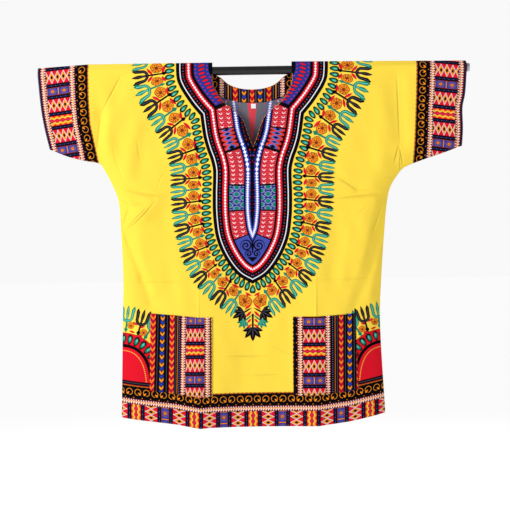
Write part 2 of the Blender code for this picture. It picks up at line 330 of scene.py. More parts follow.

# %% [markdown]
# ## Creases
#
# The shirt was folded for its packet, so sharp little lines run across it, and softer ones fan out from the
# armpits and along the sleeves, where the cloth is pulled. No two are alike in length, depth or spacing, so
# they are listed one by one, each as a straight line with a width and a height. A height below nought is a
# trough. The sharpest ones are finer than the mesh, so they go into the cotton's shader further down.

# %% Creases placed one by one
CREASES = {
    "front": table(
        FOLD_COLUMNS,
        (-0.312, -0.086, -0.322, -0.172, 0.0110, -0.0036),  # along the sleeves
        (-0.300, -0.060, -0.297, -0.180, 0.0140, 0.0029),
        (0.322, -0.030, 0.325, -0.165, 0.0120, 0.0022),
        (0.268, -0.050, 0.262, -0.190, 0.0160, 0.0018),
        (-0.285, -0.229, -0.207, -0.259, 0.0060, -0.0018),  # out from the left armpit
        (-0.207, -0.259, -0.168, -0.257, 0.0070, -0.0013),
        (-0.276, -0.250, -0.225, -0.300, 0.0100, 0.0020),
        (-0.271, -0.330, -0.234, -0.426, 0.0065, -0.0031),
        (-0.234, -0.426, -0.216, -0.478, 0.0080, -0.0022),
        (-0.246, -0.345, -0.208, -0.455, 0.0110, 0.0023),
        (-0.240, -0.110, -0.262, -0.205, 0.0150, 0.0018),
        (-0.222, -0.120, -0.236, -0.215, 0.0120, -0.0014),
        (0.168, -0.214, 0.214, -0.249, 0.0070, -0.0016),  # out from the right armpit
        (0.214, -0.249, 0.252, -0.256, 0.0070, -0.0018),
        (0.167, -0.271, 0.272, -0.261, 0.0060, -0.0018),
        (0.251, -0.277, 0.225, -0.385, 0.0080, 0.0012),
        (0.225, -0.385, 0.184, -0.502, 0.0090, 0.0010),
        (0.271, -0.318, 0.243, -0.410, 0.0080, -0.0012),
        (0.243, -0.410, 0.206, -0.490, 0.0080, -0.0010),
        (0.262, -0.370, 0.236, -0.470, 0.0080, 0.0018),
        (0.170, -0.300, 0.157, -0.430, 0.0130, -0.0013),
        (0.196, -0.330, 0.178, -0.440, 0.0100, 0.0013),
        (-0.190, -0.310, -0.176, -0.440, 0.0160, -0.0013),
        (-0.155, -0.370, -0.150, -0.495, 0.0150, 0.0014),
        (-0.030, -0.560, -0.034, -0.700, 0.0180, -0.0013),
        (0.020, -0.545, 0.024, -0.700, 0.0200, 0.0014),
        (0.066, -0.520, 0.070, -0.690, 0.0160, -0.0013),
        (-0.072, -0.530, -0.078, -0.690, 0.0160, 0.0013),
        (0.200, -0.030, 0.196, -0.160, 0.0180, 0.0014),
        (-0.185, -0.030, -0.196, -0.150, 0.0180, -0.0011),
        (0.050, -0.135, 0.036, -0.215, 0.0060, 0.0022),  # the slit's edges pull on the bib
        (-0.050, -0.135, -0.036, -0.215, 0.0060, 0.0022),
        (0.027, -0.125, 0.017, -0.200, 0.0050, -0.0018),
        (-0.028, -0.125, -0.018, -0.200, 0.0050, -0.0018),
        (-0.075, -0.100, -0.062, -0.200, 0.0080, -0.0013),
        (0.076, -0.100, 0.064, -0.200, 0.0080, -0.0013),
    ),
    "back": table(
        FOLD_COLUMNS,
        (-0.318, -0.040, -0.322, -0.165, 0.0120, 0.0022),
        (0.310, -0.040, 0.318, -0.170, 0.0110, 0.0022),
        (0.302, -0.130, 0.286, -0.205, 0.0060, -0.0016),
        (-0.280, -0.240, -0.205, -0.275, 0.0070, -0.0020),
        (-0.274, -0.268, -0.215, -0.335, 0.0100, 0.0022),
        (-0.266, -0.330, -0.222, -0.470, 0.0080, -0.0029),
        (0.274, -0.255, 0.190, -0.272, 0.0070, -0.0020),
        (0.262, -0.285, 0.196, -0.345, 0.0100, 0.0022),
        (0.258, -0.350, 0.212, -0.480, 0.0080, -0.0027),
        (0.236, -0.330, 0.205, -0.460, 0.0100, 0.0018),
        (0.052, -0.500, 0.060, -0.700, 0.0200, -0.0014),
        (-0.175, -0.480, -0.186, -0.690, 0.0180, 0.0014),
        (0.170, -0.500, 0.182, -0.680, 0.0170, 0.0014),
        (-0.190, -0.040, -0.215, -0.190, 0.0170, 0.0016),
        (0.182, -0.040, 0.212, -0.180, 0.0170, 0.0016),
    ),
}
RIPPLES = table(
    "x_turns z_turns start height",
    (19, 5, 0.4, 0.00050),
    (31, -9, 2.1, 0.00036),
    (47, 17, 4.0, 0.00022),
)
print("creases:", {panel: len(creases["x0"]) for panel, creases in CREASES.items()})

# %% [markdown]
# ## The height map
#
# Two helpers do most of the work. `from_segment` says how far a point is from a straight line, and the form
# uses it for seams, folds and creases. `from_path` says how far along a path a point lies and how far to its
# side, and the print uses it later to lay its bands and garlands along curved lines.

# %% Curves and distances


def smooth_step(value):
    """0 below 0, 1 above 1, and an even rise between."""
    value = np.clip(value, 0, 1)
    return value * value * (3 - 2 * value)


def rounded(path, first=0, last=None):
    """A smooth curve through the rows of a path, or the stretch of it between two rows."""
    points = np.stack(list(path.values()), axis=-1)
    before = np.concatenate([2 * points[:1] - points[1:2], points[:-2]])
    after = np.concatenate([points[2:], 2 * points[-1:] - points[-2:-1]])
    share = np.linspace(0, 1, CURVE_STEPS, endpoint=False)[:, None]
    curve = []
    for p0, p1, p2, p3 in list(zip(before, points, points[1:], after))[first:last]:
        slope, bend, twist = p2 - p0, 2 * p0 - 5 * p1 + 4 * p2 - p3, 3 * (p1 - p2) + p3 - p0
        curve.extend(p1 + share * (slope + share * (bend + share * twist)) / 2)
    curve.append(points[-1 if last is None else last])
    return dict(zip(path, np.array(curve).T))


def along(path, shares):
    """The points at these shares of the length of a path, as rows of x and z."""
    x, z = path.values()
    lengths = np.concatenate([[0], np.cumsum(np.hypot(np.diff(x), np.diff(z)))])
    at = np.array(shares) * lengths[-1]
    return np.stack([np.interp(at, lengths, x), np.interp(at, lengths, z)], axis=-1)


def at_height(path, z):
    """The x of a path that only goes down, at a height."""
    return np.interp(z, path["z"][::-1], path["x"][::-1])


def from_segment(x, z, x0, z0, x1, z1):
    """The distance of each point from a straight line with ends."""
    length_squared = (x1 - x0) ** 2 + (z1 - z0) ** 2
    share = np.clip(((x - x0) * (x1 - x0) + (z - z0) * (z1 - z0)) / length_squared, 0, 1)
    return np.hypot(x - x0 - share * (x1 - x0), z - z0 - share * (z1 - z0))


def from_path(x, z, path):
    """How far along a path its nearest place to each point lies, and the distance to the path's left side."""
    path_x, path_z = path.values()
    steps = np.hypot(np.diff(path_x), np.diff(path_z))
    starts = np.concatenate([[0], np.cumsum(steps)])
    best = np.full(np.shape(x), np.inf)
    length, side = np.zeros(np.shape(x)), np.zeros(np.shape(x))
    for piece, step in enumerate(steps):
        x0, z0 = path_x[piece], path_z[piece]
        along_x, along_z = (path_x[piece + 1] - x0) / step, (path_z[piece + 1] - z0) / step
        reach = (x - x0) * along_x + (z - z0) * along_z
        low = -np.inf if piece == 0 else 0
        high = np.inf if piece == len(steps) - 1 else step
        held = np.clip(reach, low, high)
        distance = np.hypot(x - x0 - held * along_x, z - z0 - held * along_z)
        nearer = distance < best
        best = np.where(nearer, distance, best)
        length = np.where(nearer, starts[piece] + held, length)
        turn = np.sign(along_x * (z - z0) - along_z * (x - x0))
        side = np.where(nearer, turn * distance, side)
    return length, side


print("points on a smooth side seam:", {half: len(rounded(SEAM[half])["x"]) for half in SEAM})

# %% The height map
CREASES_FROM = 0.03  # the small creases grow in over this distance below the rod
BACKWARD_TOP = -0.20  # the seams start to hang back here
BACKWARD_OVER = 0.35  # and do so fully this much lower


def from_seams(x, z):
    """The distance of each point from the nearest underarm or side seam."""
    nearest = np.full(np.shape(x), np.inf)
    for half in (-1, 1):
        seam_x, seam_z = rounded(SEAM[half]).values()
        for x0, z0, x1, z1 in zip(seam_x, seam_z, seam_x[1:], seam_z[1:]):
            nearest = np.minimum(nearest, from_segment(x, z, x0, z0, x1, z1))
    return nearest


def ridge_height(panel, x, z):
    """How far the pressed ridges stand out, each like a low roof that grows towards the hem."""
    growth = smooth_step((RIDGE_TOP - z) / (RIDGE_TOP - RIDGE_FULL))
    height = np.zeros(np.shape(x))
    for ridge_x, top, reach in zip(*RIDGES[panel].values()):
        away = np.abs(x - ridge_x - LEAN * (z - HEM["z"].min())) / reach
        height = height + top * np.clip(1 - away, 0, 1) ** RIDGE_SHARPNESS
    return height * growth


def line_height(lines, x, z):
    """The height of all the lines of a table, each a soft ridge or trough."""
    height = np.zeros(np.shape(x))
    for x0, z0, x1, z1, width, top in zip(*lines.values()):
        away = from_segment(x, z, x0, z0, x1, z1) / width
        height = height + top * np.exp(-(away**2))
    return height


def ripple_height(x, z):
    """Shallow waves, as cotton never hangs quite flat."""
    waves = [
        height * np.sin(x_turns * math.tau * x / 2 + z_turns * math.tau * z / 2 + start)
        for x_turns, z_turns, start, height in zip(*RIPPLES.values())
    ]
    return sum(waves)


def hang_depth(panel, x, z, lift):
    """How far the inside of a panel hangs in front of the seams' plane, or behind it."""
    room = np.interp(x, SHOULDER["x"], SHOULDER["room"])
    fullness = np.interp(z, FULLNESS[panel]["z"], FULLNESS[panel]["out"])
    rounding = 1 - np.clip(1 - from_seams(x, z) / SEAM_ROUNDING, 0, 1) ** 2
    below_rod = smooth_step((WRAP_FOOT - z) / CREASES_FROM)
    shape = ridge_height(panel, x, z) + line_height(FOLDS[panel], x, z)
    fine = below_rod * (line_height(CREASES[panel], x, z) + ripple_height(x, z))
    return GAP / 2 + rounding * (room + fullness + shape + fine + lift)


def seam_plane(z):
    """The side seams hang a little behind the rod."""
    return SEAM_BACKWARD * smooth_step((BACKWARD_TOP - z) / BACKWARD_OVER)


stands_off = hang_depth("front", np.zeros(1), np.full(1, -0.5), 0)
print("half way down its middle, the front stands off by", round(1000 * stands_off[0], 1), "mm")

# %% The section over the rod
# Distance from the middle and drop, at three places round the top of the shoulder fold.
PEAK_ROUNDING = ((0.00005, 0.0), (0.0006, -0.0002), (0.0011, -0.0008))
PEAK_DROP = 0.0015
STRAIGHT_STEPS = 3
ARC_STEPS = 4


def wrap_section(x, lift):
    """The cloth from the shoulder fold down over the rod: rows of distance from the middle and height."""
    height = np.interp(x, SHOULDER["x"], SHOULDER["height"]) + lift
    room = np.interp(x, SHOULDER["x"], SHOULDER["room"]) + lift
    peak = height - PEAK_DROP
    touch = math.acos(min(room / peak, 1))
    start = np.array((PEAK_ROUNDING[-1][0], height + PEAK_ROUNDING[-1][1]))
    end = np.array((room * math.sin(touch), room * math.cos(touch)))
    section = [(away, height + drop) for away, drop in PEAK_ROUNDING]
    section.extend(start + (end - start) * step / STRAIGHT_STEPS for step in range(1, STRAIGHT_STEPS + 1))
    for step in range(1, ARC_STEPS + 1):
        angle = (math.pi / 2 - touch) * (1 - step / ARC_STEPS)
        section.append((room * math.cos(angle), room * math.sin(angle)))
    return section


WRAP_ROWS = len(PEAK_ROUNDING) + STRAIGHT_STEPS + ARC_STEPS
print("the section over the rod has", WRAP_ROWS, "rows")

# %% [markdown]
# ## The grid of a panel
#
# Each half of a panel is a net of rows and columns that fan from the neck and the rod to the cuff, the seam
# and the hem. The net is the same as the solid's, with every mesh split finely, so the shell keeps the cut
# but can also hold creases a few millimetres wide.

# %% Rows and columns
BODY_COLUMNS = {
    -1: (0, 0.07, 0.14, 0.22, 0.308, 0.395, 0.47, 0.55, 0.63, 0.705, 0.785, 0.865, 0.935, 0.978, 1),
    1: (0, 0.07, 0.14, 0.22, 0.310, 0.400, 0.493, 0.565, 0.64, 0.720, 0.805, 0.880, 0.945, 0.982, 1),
}
UPPER_ROWS = (0, 0.06, 0.16, 0.30, 0.46, 0.62, 0.77, 0.88, 0.955, 1)
LOWER_ROWS = (0, 0.025, 0.06, 0.10, 0.15, 0.22, 0.30, 0.39, 0.48, 0.573, 0.648, 0.723, 0.798, 0.873, 0.94, 1)
BODY_SPLIT = 7  # small columns in one of the solid's
SLEEVE_SPLIT = 4
UPPER_SPLIT = (4, 6, 8, 9, 9, 9, 7, 5, 3)
LOWER_SPLIT = (4, 5, 6, 8, 11, 12, 14, 14, 14, 11, 11, 11, 11, 10, 9)

NECK_COLUMN = 8 * BODY_SPLIT
ARMPIT_COLUMN = 14 * BODY_SPLIT
SLEEVE_COLUMNS = 8 * SLEEVE_SPLIT
LAST_COLUMN = ARMPIT_COLUMN + SLEEVE_COLUMNS


def split(shares, counts):
    """The shares with each gap between them divided evenly into its count."""
    gaps = zip(shares, shares[1:], counts)
    fine = [np.linspace(low, high, count, endpoint=False) for low, high, count in gaps]
    return np.concatenate([*fine, shares[-1:]])


BODY_SHARES = {half: split(BODY_COLUMNS[half], [BODY_SPLIT] * 14) for half in (-1, 1)}
UPPER_SHARES = split(UPPER_ROWS, UPPER_SPLIT)
LOWER_SHARES = split(LOWER_ROWS, LOWER_SPLIT)
ARMPIT_LINE = WRAP_ROWS + len(UPPER_SHARES) - 1  # the row that crosses the body at the armpits
HEM_LINE = ARMPIT_LINE + len(LOWER_SHARES) - 1
print("a half has", HEM_LINE + 1, "rows and up to", LAST_COLUMN + 1, "columns")

# %% The net of one half


def top_points(neck, half):
    """Where the columns start: along the neck edge, then along the rod out to the cuff."""
    path = rounded({"x": half * neck["out"], "z": neck["z"]})
    points = list(along(path, np.linspace(0, 1, NECK_COLUMN + 1)))
    for x in np.linspace(NECK_HALF_WIDTH, ARMPIT_X, ARMPIT_COLUMN - NECK_COLUMN + 1)[1:]:
        points.append((half * x, WRAP_FOOT))
    for x in np.linspace(ARMPIT_X, CUFF_X, SLEEVE_COLUMNS + 1)[1:]:
        points.append((half * x, WRAP_FOOT))
    return np.array(points)


def armpit_points(half):
    """Where the upper columns end: across the body at the armpits, then along under the sleeve."""
    armpit_x = SEAM[half]["x"][ARMPIT_ROW]
    armpit_z = SEAM[half]["z"][ARMPIT_ROW]
    middle_z = (armpit_z + SEAM[-half]["z"][ARMPIT_ROW]) / 2
    points = []
    for share in BODY_SHARES[half]:
        z = middle_z + share * (armpit_z - middle_z)
        points.append((LEAN * z + share * (armpit_x - LEAN * z), z))
    shares = np.linspace(1, 0, SLEEVE_COLUMNS + 1)[1:]
    return np.concatenate([points, along(rounded(SEAM[half], 0, ARMPIT_ROW), shares)])


def upper_grid(neck, half):
    """Rows from the rod or the neck down to the armpits, as x and z."""
    top = top_points(neck, half)
    bottom = armpit_points(half)
    shares = UPPER_SHARES[:, None, None]
    grid = top + shares * (bottom - top)
    bulge = along(rounded(CUFF[half]), UPPER_SHARES) - grid[:, -1]
    reach = np.clip((np.arange(LAST_COLUMN + 1) - ARMPIT_COLUMN) / SLEEVE_COLUMNS, 0, 1)
    return grid + bulge[:, None] * reach[None, :, None]


def lower_grid(half):
    """Rows from the armpits down to the hem, as x and z."""
    start = armpit_points(half)[: ARMPIT_COLUMN + 1]
    middle = LEAN * HEM["z"].min()
    end_x = middle + BODY_SHARES[half] * (SEAM[half]["x"][-1] - middle)
    end_z = np.interp(end_x, HEM["x"], HEM["z"])
    side = rounded(SEAM[half], ARMPIT_ROW)
    rows = []
    for share in LOWER_SHARES[1:]:
        z = start[:, 1] + share * (end_z - start[:, 1])
        side_x = at_height(side, z[-1])
        rows.append(np.stack([LEAN * z + BODY_SHARES[half] * (side_x - LEAN * z), z], axis=-1))
    return rows


print("rows and columns of the upper half:", upper_grid(FRONT_NECK, 1).shape[:2])

# %% The two panels


class Panel:
    """The inside of the front or the back as a net of points, each with a row and a column."""

    def __init__(self, name, neck, out):
        self.name = name
        self.out = out
        self.points = []
        self.number = {}
        lift = CLOTH - SHELL
        for half in (-1, 1):
            upper = upper_grid(neck, half)
            for column in range(NECK_COLUMN, LAST_COLUMN + 1):
                x = upper[0, column, 0]
                for row, (away, z) in enumerate(wrap_section(x, lift)):
                    self.add(row, half * column, (x, out * away, z))
            for row, cells in enumerate([*upper, *lower_grid(half)]):
                x, z = cells[:, 0], cells[:, 1]
                y = seam_plane(z) + out * hang_depth(name, x, z, lift)
                for column, point in enumerate(zip(x, y, z)):
                    self.add(WRAP_ROWS + row, half * column, point)
        self.points = np.array(self.points)

    def add(self, row, column, point):
        """Adds a point, unless the other half has already put one there."""
        if (row, column) not in self.number:
            self.number[row, column] = len(self.points)
            self.points.append(point)

    def faces(self, rows=None, columns=None):
        """Four-sided faces that look away from the rod, over all of the net or a part of it."""
        found = []
        for row, column in self.number:
            if rows and not rows[0] <= row < rows[1]:
                continue
            if columns and not columns[0] <= column < columns[1]:
                continue
            corners = ((row, column), (row + 1, column), (row + 1, column + 1), (row, column + 1))
            if all(corner in self.number for corner in corners):
                face = [self.number[corner] for corner in corners]
                found.append(face if self.out < 0 else face[::-1])
        return np.array(found)

    def lifted(self, distance):
        """All the points, moved along the surface's normals by a distance, outward if it is above 0."""
        faces = self.faces()
        corners = self.points[faces]
        across = np.cross(corners[:, 2] - corners[:, 0], corners[:, 3] - corners[:, 1])
        normals = np.zeros_like(self.points)
        for corner in range(4):
            np.add.at(normals, faces[:, corner], across)
        return self.points + distance * normals / np.linalg.norm(normals, axis=1, keepdims=True)


front = Panel("front", FRONT_NECK, -1)
back = Panel("back", BACK_NECK, 1)
print("points:", len(front.points), "on the front,", len(back.points), "on the back")

# %% [markdown]
# ## Where the print lies
#
# A dashiki is made from a printed length of cotton. Its print is laid out for the garment: a bib of bands
# around the neck, with a garland of petals, sprigs and flowers round it, a border at the cuffs and the hem,
# and an arch with petals and sprigs in each lower corner. This is the common traditional layout, and its
# motifs are drawn here by formulas.
#
# Bands and garlands follow curved lines, which a shader can't follow by itself. So each point of the net is
# told how far along such a guide line it lies and how far to its side. These pairs are UV maps with names of
# their own, in millimetres, or counted in petals and sprigs along the garland. The shaders draw every motif
# in them as if the guide were straight. The print is mirrored about the middle of the shirt, so guides are
# given as the distance out from it and the depth below the rod. Only the cuffs differ from side to side.

# %% Guide lines of the print, in millimetres
MM = 1000.0

COLLAR_LINE = table(
    "x z",
    (157.5, -18.0),
    (155.5, 15.5),
    (149.0, 33.5),
    (140.0, 49.0),
    (126.5, 69.0),
    (114.0, 84.5),
    (107.0, 92.5),
)
BIB_LINE = table(
    "x z",
    (107.0, 92.5),
    (101.0, 135.0),
    (93.5, 163.0),
    (86.0, 183.5),
    (81.5, 203.0),
    (81.0, 222.0),
    (82.0, 258.0),
    (81.0, 303.0),
    (74.0, 349.0),
    (56.0, 390.0),
    (31.0, 422.5),
    (0.0, 441.5),
)
PETAL_LINE = table(
    "x z",
    (170.0, -18.0),
    (169.5, 15.0),
    (163.5, 38.5),
    (152.5, 59.0),
    (138.5, 80.5),
    (119.0, 100.0),
    (114.5, 124.0),
    (107.5, 157.0),
    (97.5, 191.0),
    (93.0, 226.0),
    (95.0, 262.0),
    (95.0, 292.0),
    (92.0, 326.0),
    (83.0, 358.0),
    (66.5, 391.0),
    (43.5, 421.0),
    (25.0, 437.5),
    (0.0, 451.0),
)
SPRIG_LINE = table(  # a row for every second sprig, the black ones first
    "x z",
    (218.0, -19.0),
    (211.5, 37.0),
    (182.5, 95.0),
    (153.5, 144.5),
    (139.5, 199.5),
    (138.0, 247.0),
    (135.0, 298.0),
    (125.5, 348.5),
    (110.0, 396.5),
    (82.0, 438.0),
    (38.0, 475.5),
)
GUIDES = {"collar": COLLAR_LINE, "bib": BIB_LINE, "petals": PETAL_LINE, "sprigs": SPRIG_LINE}
print("points on the guides:", {name: len(line["x"]) for name, line in GUIDES.items()})

# %% Counts along the garland, and the arch
PETAL_COUNT = 43.5  # the half one is shared with the other side, at the tip
SPRIG_COUNT = 20

ARCH_OUT = 283.0  # the middle of each lower corner's arch
ARCH_DEPTH = 680.0
ARCH_HALF_WIDTH = 71.0
ARCH_HEIGHT = 112.0
ARCH_SQUARENESS = 3.0
ARCH_FOOT = 730.0


def arch_line():
    """The edge of the corner arch, from its top at the side seam, round and down."""
    turn = np.linspace(math.pi / 2, 0, 24)
    x = ARCH_OUT - ARCH_HALF_WIDTH * np.cos(turn) ** (2 / ARCH_SQUARENESS)
    z = ARCH_DEPTH - ARCH_HEIGHT * np.sin(turn) ** (2 / ARCH_SQUARENESS)
    return {"x": np.append(x, x[-1]), "z": np.append(z, ARCH_FOOT)}


def row_lengths(path):
    """The length along the smooth curve at each row of a path."""
    curve_x, curve_z = rounded(path).values()
    lengths = np.concatenate([[0], np.cumsum(np.hypot(np.diff(curve_x), np.diff(curve_z)))])
    return lengths[::CURVE_STEPS]


PETAL_PITCH = row_lengths(PETAL_LINE)[-1] / PETAL_COUNT
SPRIG_LENGTHS = row_lengths(SPRIG_LINE)
SPRIG_NUMBERS = np.arange(0, SPRIG_COUNT + 1, 2)
two_sprigs = np.diff(SPRIG_LENGTHS).round(1)
print("a petal every", round(PETAL_PITCH, 1), "mm, and two sprigs in", two_sprigs.tolist(), "mm")


def sprig_number(length):
    """How many sprigs come before a place along their guide line. It runs on past both ends."""
    first, last = np.diff(SPRIG_LENGTHS)[[0, -1]]
    lengths = np.concatenate([[-10 * first], SPRIG_LENGTHS, [SPRIG_LENGTHS[-1] + 10 * last]])
    numbers = np.concatenate([[-20], SPRIG_NUMBERS, [SPRIG_COUNT + 20]])
    return np.interp(length, lengths, numbers)

# %% Borders of the print, in millimetres
CUFF_BAND = 103.0  # width of the border at the cuffs
HEM_BAND = 70.5  # what shows of it above the hem
CUFF_SLANT = 0.12  # the panels of the cuff border run down towards the cuff
CUFF_INNER = {
    -1: table("x z", (-0.3380, 0.020), (-0.3375, -0.050), (-0.3350, -0.105), (-0.3180, -0.195)),
    1: table("x z", (0.3400, 0.020), (0.3370, -0.060), (0.3340, -0.120), (0.3290, -0.205)),
}
CUFFS_FROM = 0.2  # metres from the middle, short of which no cloth belongs to a cuff


def cuff_place(x, z):
    """The distance out across the cuff's border and down along it."""
    across = np.full(np.shape(x), -1e3)
    for half in (-1, 1):
        inner = at_height(CUFF_INNER[half], z)
        edge = at_height(rounded(CUFF[half]), z)
        share = (x - inner) / (edge - inner)
        across = np.where(half * x > CUFFS_FROM, share * CUFF_BAND, across)
    return np.stack([across, -MM * z - CUFF_SLANT * across], axis=-1)


def hem_place(x, z):
    """The distance down across the hem's border and along it."""
    above_hem = MM * (z - np.interp(x, HEM["x"], HEM["z"]))
    return np.stack([HEM_BAND - above_hem, MM * (x - LEAN * z)], axis=-1)


def print_places(points):
    """Every pair of print coordinates at each point, by name."""
    x, z = points[:, 0], points[:, 2]
    sideways = MM * (x - LEAN * z)
    out, depth = np.abs(sideways), -MM * z
    places = {"flat": np.stack([sideways, depth], axis=-1)}
    for name, line in GUIDES.items():
        places[name] = np.stack(from_path(out, depth, rounded(line)), axis=-1)
    places["petals"][:, 0] /= PETAL_PITCH
    places["sprigs"][:, 0] = sprig_number(places["sprigs"][:, 0])
    places["arch"] = np.stack(from_path(out, depth, arch_line()), axis=-1)
    places["cuff"] = cuff_place(x, z)
    places["hem"] = hem_place(x, z)
    return places


front_places = print_places(front.points)
back_places = print_places(back.points)
print("print coordinates:", ", ".join(front_places))

# %% Zones of the print
PLAIN, NECK, CUFFS, HEM_ZONE = range(4)
ZONE_MARGIN = 14.0  # plain cloth that a zone takes in beyond its print
SPRIG_REACH = -46.0  # how far the garland reaches out of its guide line
GARLAND_FOOT = 470.0  # depth to which the garland's own zone reaches
TIP_BOX = (90.0, 400.0, 596.0)  # half width, top and foot of the leaves under the bib
CORNER_BOX = (186.0, 462.0)  # distance out and top of the lower corners

ZONE_MAPS = {
    PLAIN: ("flat", "flat", "flat", "flat"),
    NECK: ("collar", "bib", "petals", "sprigs"),
    CUFFS: ("cuff", "flat", "flat", "flat"),
    HEM_ZONE: ("hem", "arch", "flat", "flat"),
}
MAP_NAMES = ("guide_a", "guide_b", "guide_c", "guide_d")


def zones_of(faces, places):
    """The print zone of each face, by its middle."""
    middle = {name: place[faces].mean(axis=1) for name, place in places.items()}
    out, depth = np.abs(middle["flat"][:, 0]), middle["flat"][:, 1]
    half_width, top, foot = TIP_BOX
    near_bib = (middle["sprigs"][:, 1] > SPRIG_REACH) & (depth < GARLAND_FOOT)
    near_tip = (out < half_width) & (depth > top) & (depth < foot)
    in_corner = (out > CORNER_BOX[0]) & (depth > CORNER_BOX[1])
    zones = np.full(len(faces), PLAIN)
    zones[near_bib | near_tip] = NECK
    zones[middle["cuff"][:, 0] > -ZONE_MARGIN] = CUFFS
    zones[in_corner | (middle["hem"][:, 0] > -ZONE_MARGIN)] = HEM_ZONE
    return zones


front_faces = front.faces()
back_faces = back.faces()
front_zones = zones_of(front_faces, front_places)
back_zones = zones_of(back_faces, back_places)
print("faces by zone on the front:", np.bincount(front_zones).tolist())

# %% [markdown]
# ## Drawing with nodes
#
# Every motif is a small drawing made of distances: a petal is where an ellipse's distance is below one, a
# braid is where a zigzag line is near. `Value` lets such sums be written as arithmetic, and adds the Math
# node for each step. `Colour` lays an ink over another through a mask, as a printer lays one screen over
# the next.
#
# `@motif` turns a drawing function into a shader node group. The names of its arguments become the inputs,
# and what it returns becomes the outputs. Called later, it adds the group to the tree that its first input
# comes from.

# %% Values and colours
SOFT_EDGE = 0.3  # half the width over which an ink's edge fades, in millimetres


class Value:
    """A number in a node tree."""

    def __init__(self, tree, socket):
        self.tree = tree
        self.socket = socket

    def __add__(self, other):
        return math_node("ADD", self, other)

    def __radd__(self, other):
        return math_node("ADD", other, self)

    def __sub__(self, other):
        return math_node("SUBTRACT", self, other)

    def __rsub__(self, other):
        return math_node("SUBTRACT", other, self)

    def __mul__(self, other):
        return math_node("MULTIPLY", self, other)

    def __rmul__(self, other):
        return math_node("MULTIPLY", other, self)

    def __truediv__(self, other):
        return math_node("DIVIDE", self, other)

    def __abs__(self):
        return math_node("ABSOLUTE", self)


class Colour:
    """A colour in a node tree."""

    def __init__(self, tree, socket):
        self.tree = tree
        self.socket = socket

    def inked(self, ink, mask):
        """This colour with an ink laid over it where the mask is 1."""
        node = self.tree.nodes.new("ShaderNodeMix")
        node.data_type = "RGBA"
        for value, socket in ((mask, node.inputs[0]), (self, node.inputs[6]), (ink, node.inputs[7])):
            plug(self.tree, value, socket)
        return Colour(self.tree, node.outputs[2])


def plug(tree, value, socket):
    """Links a value or a colour to a socket, or sets a plain number or ink on it."""
    if isinstance(value, (Value, Colour)):
        tree.links.new(value.socket, socket)
    else:
        socket.default_value = (*value, 1) if isinstance(value, tuple) else value


def math_node(operation, *values, clamp=False):
    """Adds a Math node that works on values and plain numbers."""
    tree = next(value.tree for value in values if isinstance(value, Value))
    node = tree.nodes.new("ShaderNodeMath")
    node.operation = operation
    node.use_clamp = clamp
    for value, socket in zip(values, node.inputs):
        plug(tree, value, socket)
    return Value(tree, node.outputs[0])


print("an ink's edge fades over", 2 * SOFT_EDGE, "mm")

# %% Distances and masks


def least(*values):
    """The smallest of some values."""
    result = values[0]
    for value in values[1:]:
        result = math_node("MINIMUM", result, value)
    return result


def most(*values):
    """The largest of some values."""
    result = values[0]
    for value in values[1:]:
        result = math_node("MAXIMUM", result, value)
    return result


def distance(x, y):
    """How far a place is from the origin."""
    return math_node("SQRT", x * x + y * y)


def inside(edge, soft=SOFT_EDGE):
    """A mask: 1 where the distance to an edge is below 0."""
    return math_node("MULTIPLY_ADD", edge, -0.5 / soft, 0.5, clamp=True)


def between(value, low, high):
    """A mask: 1 where a value lies between two others."""
    return inside(abs(value - (low + high) / 2) - (high - low) / 2)


def repeat(value, pitch):
    """The signed distance from the nearest multiple of a pitch."""
    return math_node("WRAP", value, pitch / 2, -pitch / 2)


def mirrored(value, pitch):
    """The distance from the nearest multiple of a pitch, the same on both sides of it."""
    return math_node("PINGPONG", value, pitch / 2)


def lens(along, across, length, width):
    """The distance to the edge of a pointed leaf about the origin."""
    share = along * (2 / length)
    return abs(across) - width / 2 * (1 - share * share)


def turned(x, y, centre_x, centre_y, angle):
    """Coordinates about a centre, with the first one turned by an angle in degrees."""
    cosine, sine = math.cos(math.radians(angle)), math.sin(math.radians(angle))
    along = x * cosine + y * sine - (centre_x * cosine + centre_y * sine)
    across = y * cosine - x * sine - (centre_y * cosine - centre_x * sine)
    return along, across


print("the place (0, 1) in axes turned by 90 degrees:", [round(part, 3) for part in turned(0, 1, 0, 0, 90)])

# %% Motifs as node groups


def motif(draw):
    """Makes a node group of a drawing function, and a function that adds the group to another tree."""
    names = draw.__code__.co_varnames[: draw.__code__.co_argcount]
    tree = bpy.data.node_groups.new(draw.__name__, "ShaderNodeTree")
    for name in names:
        tree.interface.new_socket(name=name, in_out="INPUT", socket_type="NodeSocketFloat")
    start = tree.nodes.new("NodeGroupInput")
    end = tree.nodes.new("NodeGroupOutput")
    results = draw(*(Value(tree, start.outputs[name]) for name in names))
    for name, result in results.items():
        kind = "NodeSocketColor" if isinstance(result, Colour) else "NodeSocketFloat"
        tree.interface.new_socket(name=name, in_out="OUTPUT", socket_type=kind)
        tree.links.new(result.socket, end.inputs[name])

    def add(*values):
        outer = values[0].tree
        node = outer.nodes.new("ShaderNodeGroup")
        node.node_tree = tree
        for value, socket in zip(values, node.inputs):
            plug(outer, value, socket)
        found = [type(result)(outer, socket) for result, socket in zip(results.values(), node.outputs)]
        return found[0] if len(found) == 1 else found

    return add


def flat_colour(value, ink):
    """One ink all over, in the tree that a value comes from."""
    node = value.tree.nodes.new("ShaderNodeRGB")
    node.outputs[0].default_value = (*ink, 1)
    return Colour(value.tree, node.outputs[0])


def nodes_in(motif_name):
    """How many nodes a motif is made of."""
    return len(bpy.data.node_groups[motif_name].nodes)


print("motifs so far:", len(bpy.data.node_groups))

# %% [markdown]
# ## Inks
#
# Wax print uses plain inks, each strong and flat. They are named here once, as red, green and blue from 0 to
# 255, so that a change of one runs through the whole print.

# %% Inks


def ink(*levels):
    """The shader's colour for red, green and blue from 0 to 255 as a screen shows them."""
    return tuple(((level / 255 + 0.055) / 1.055) ** 2.4 for level in levels)


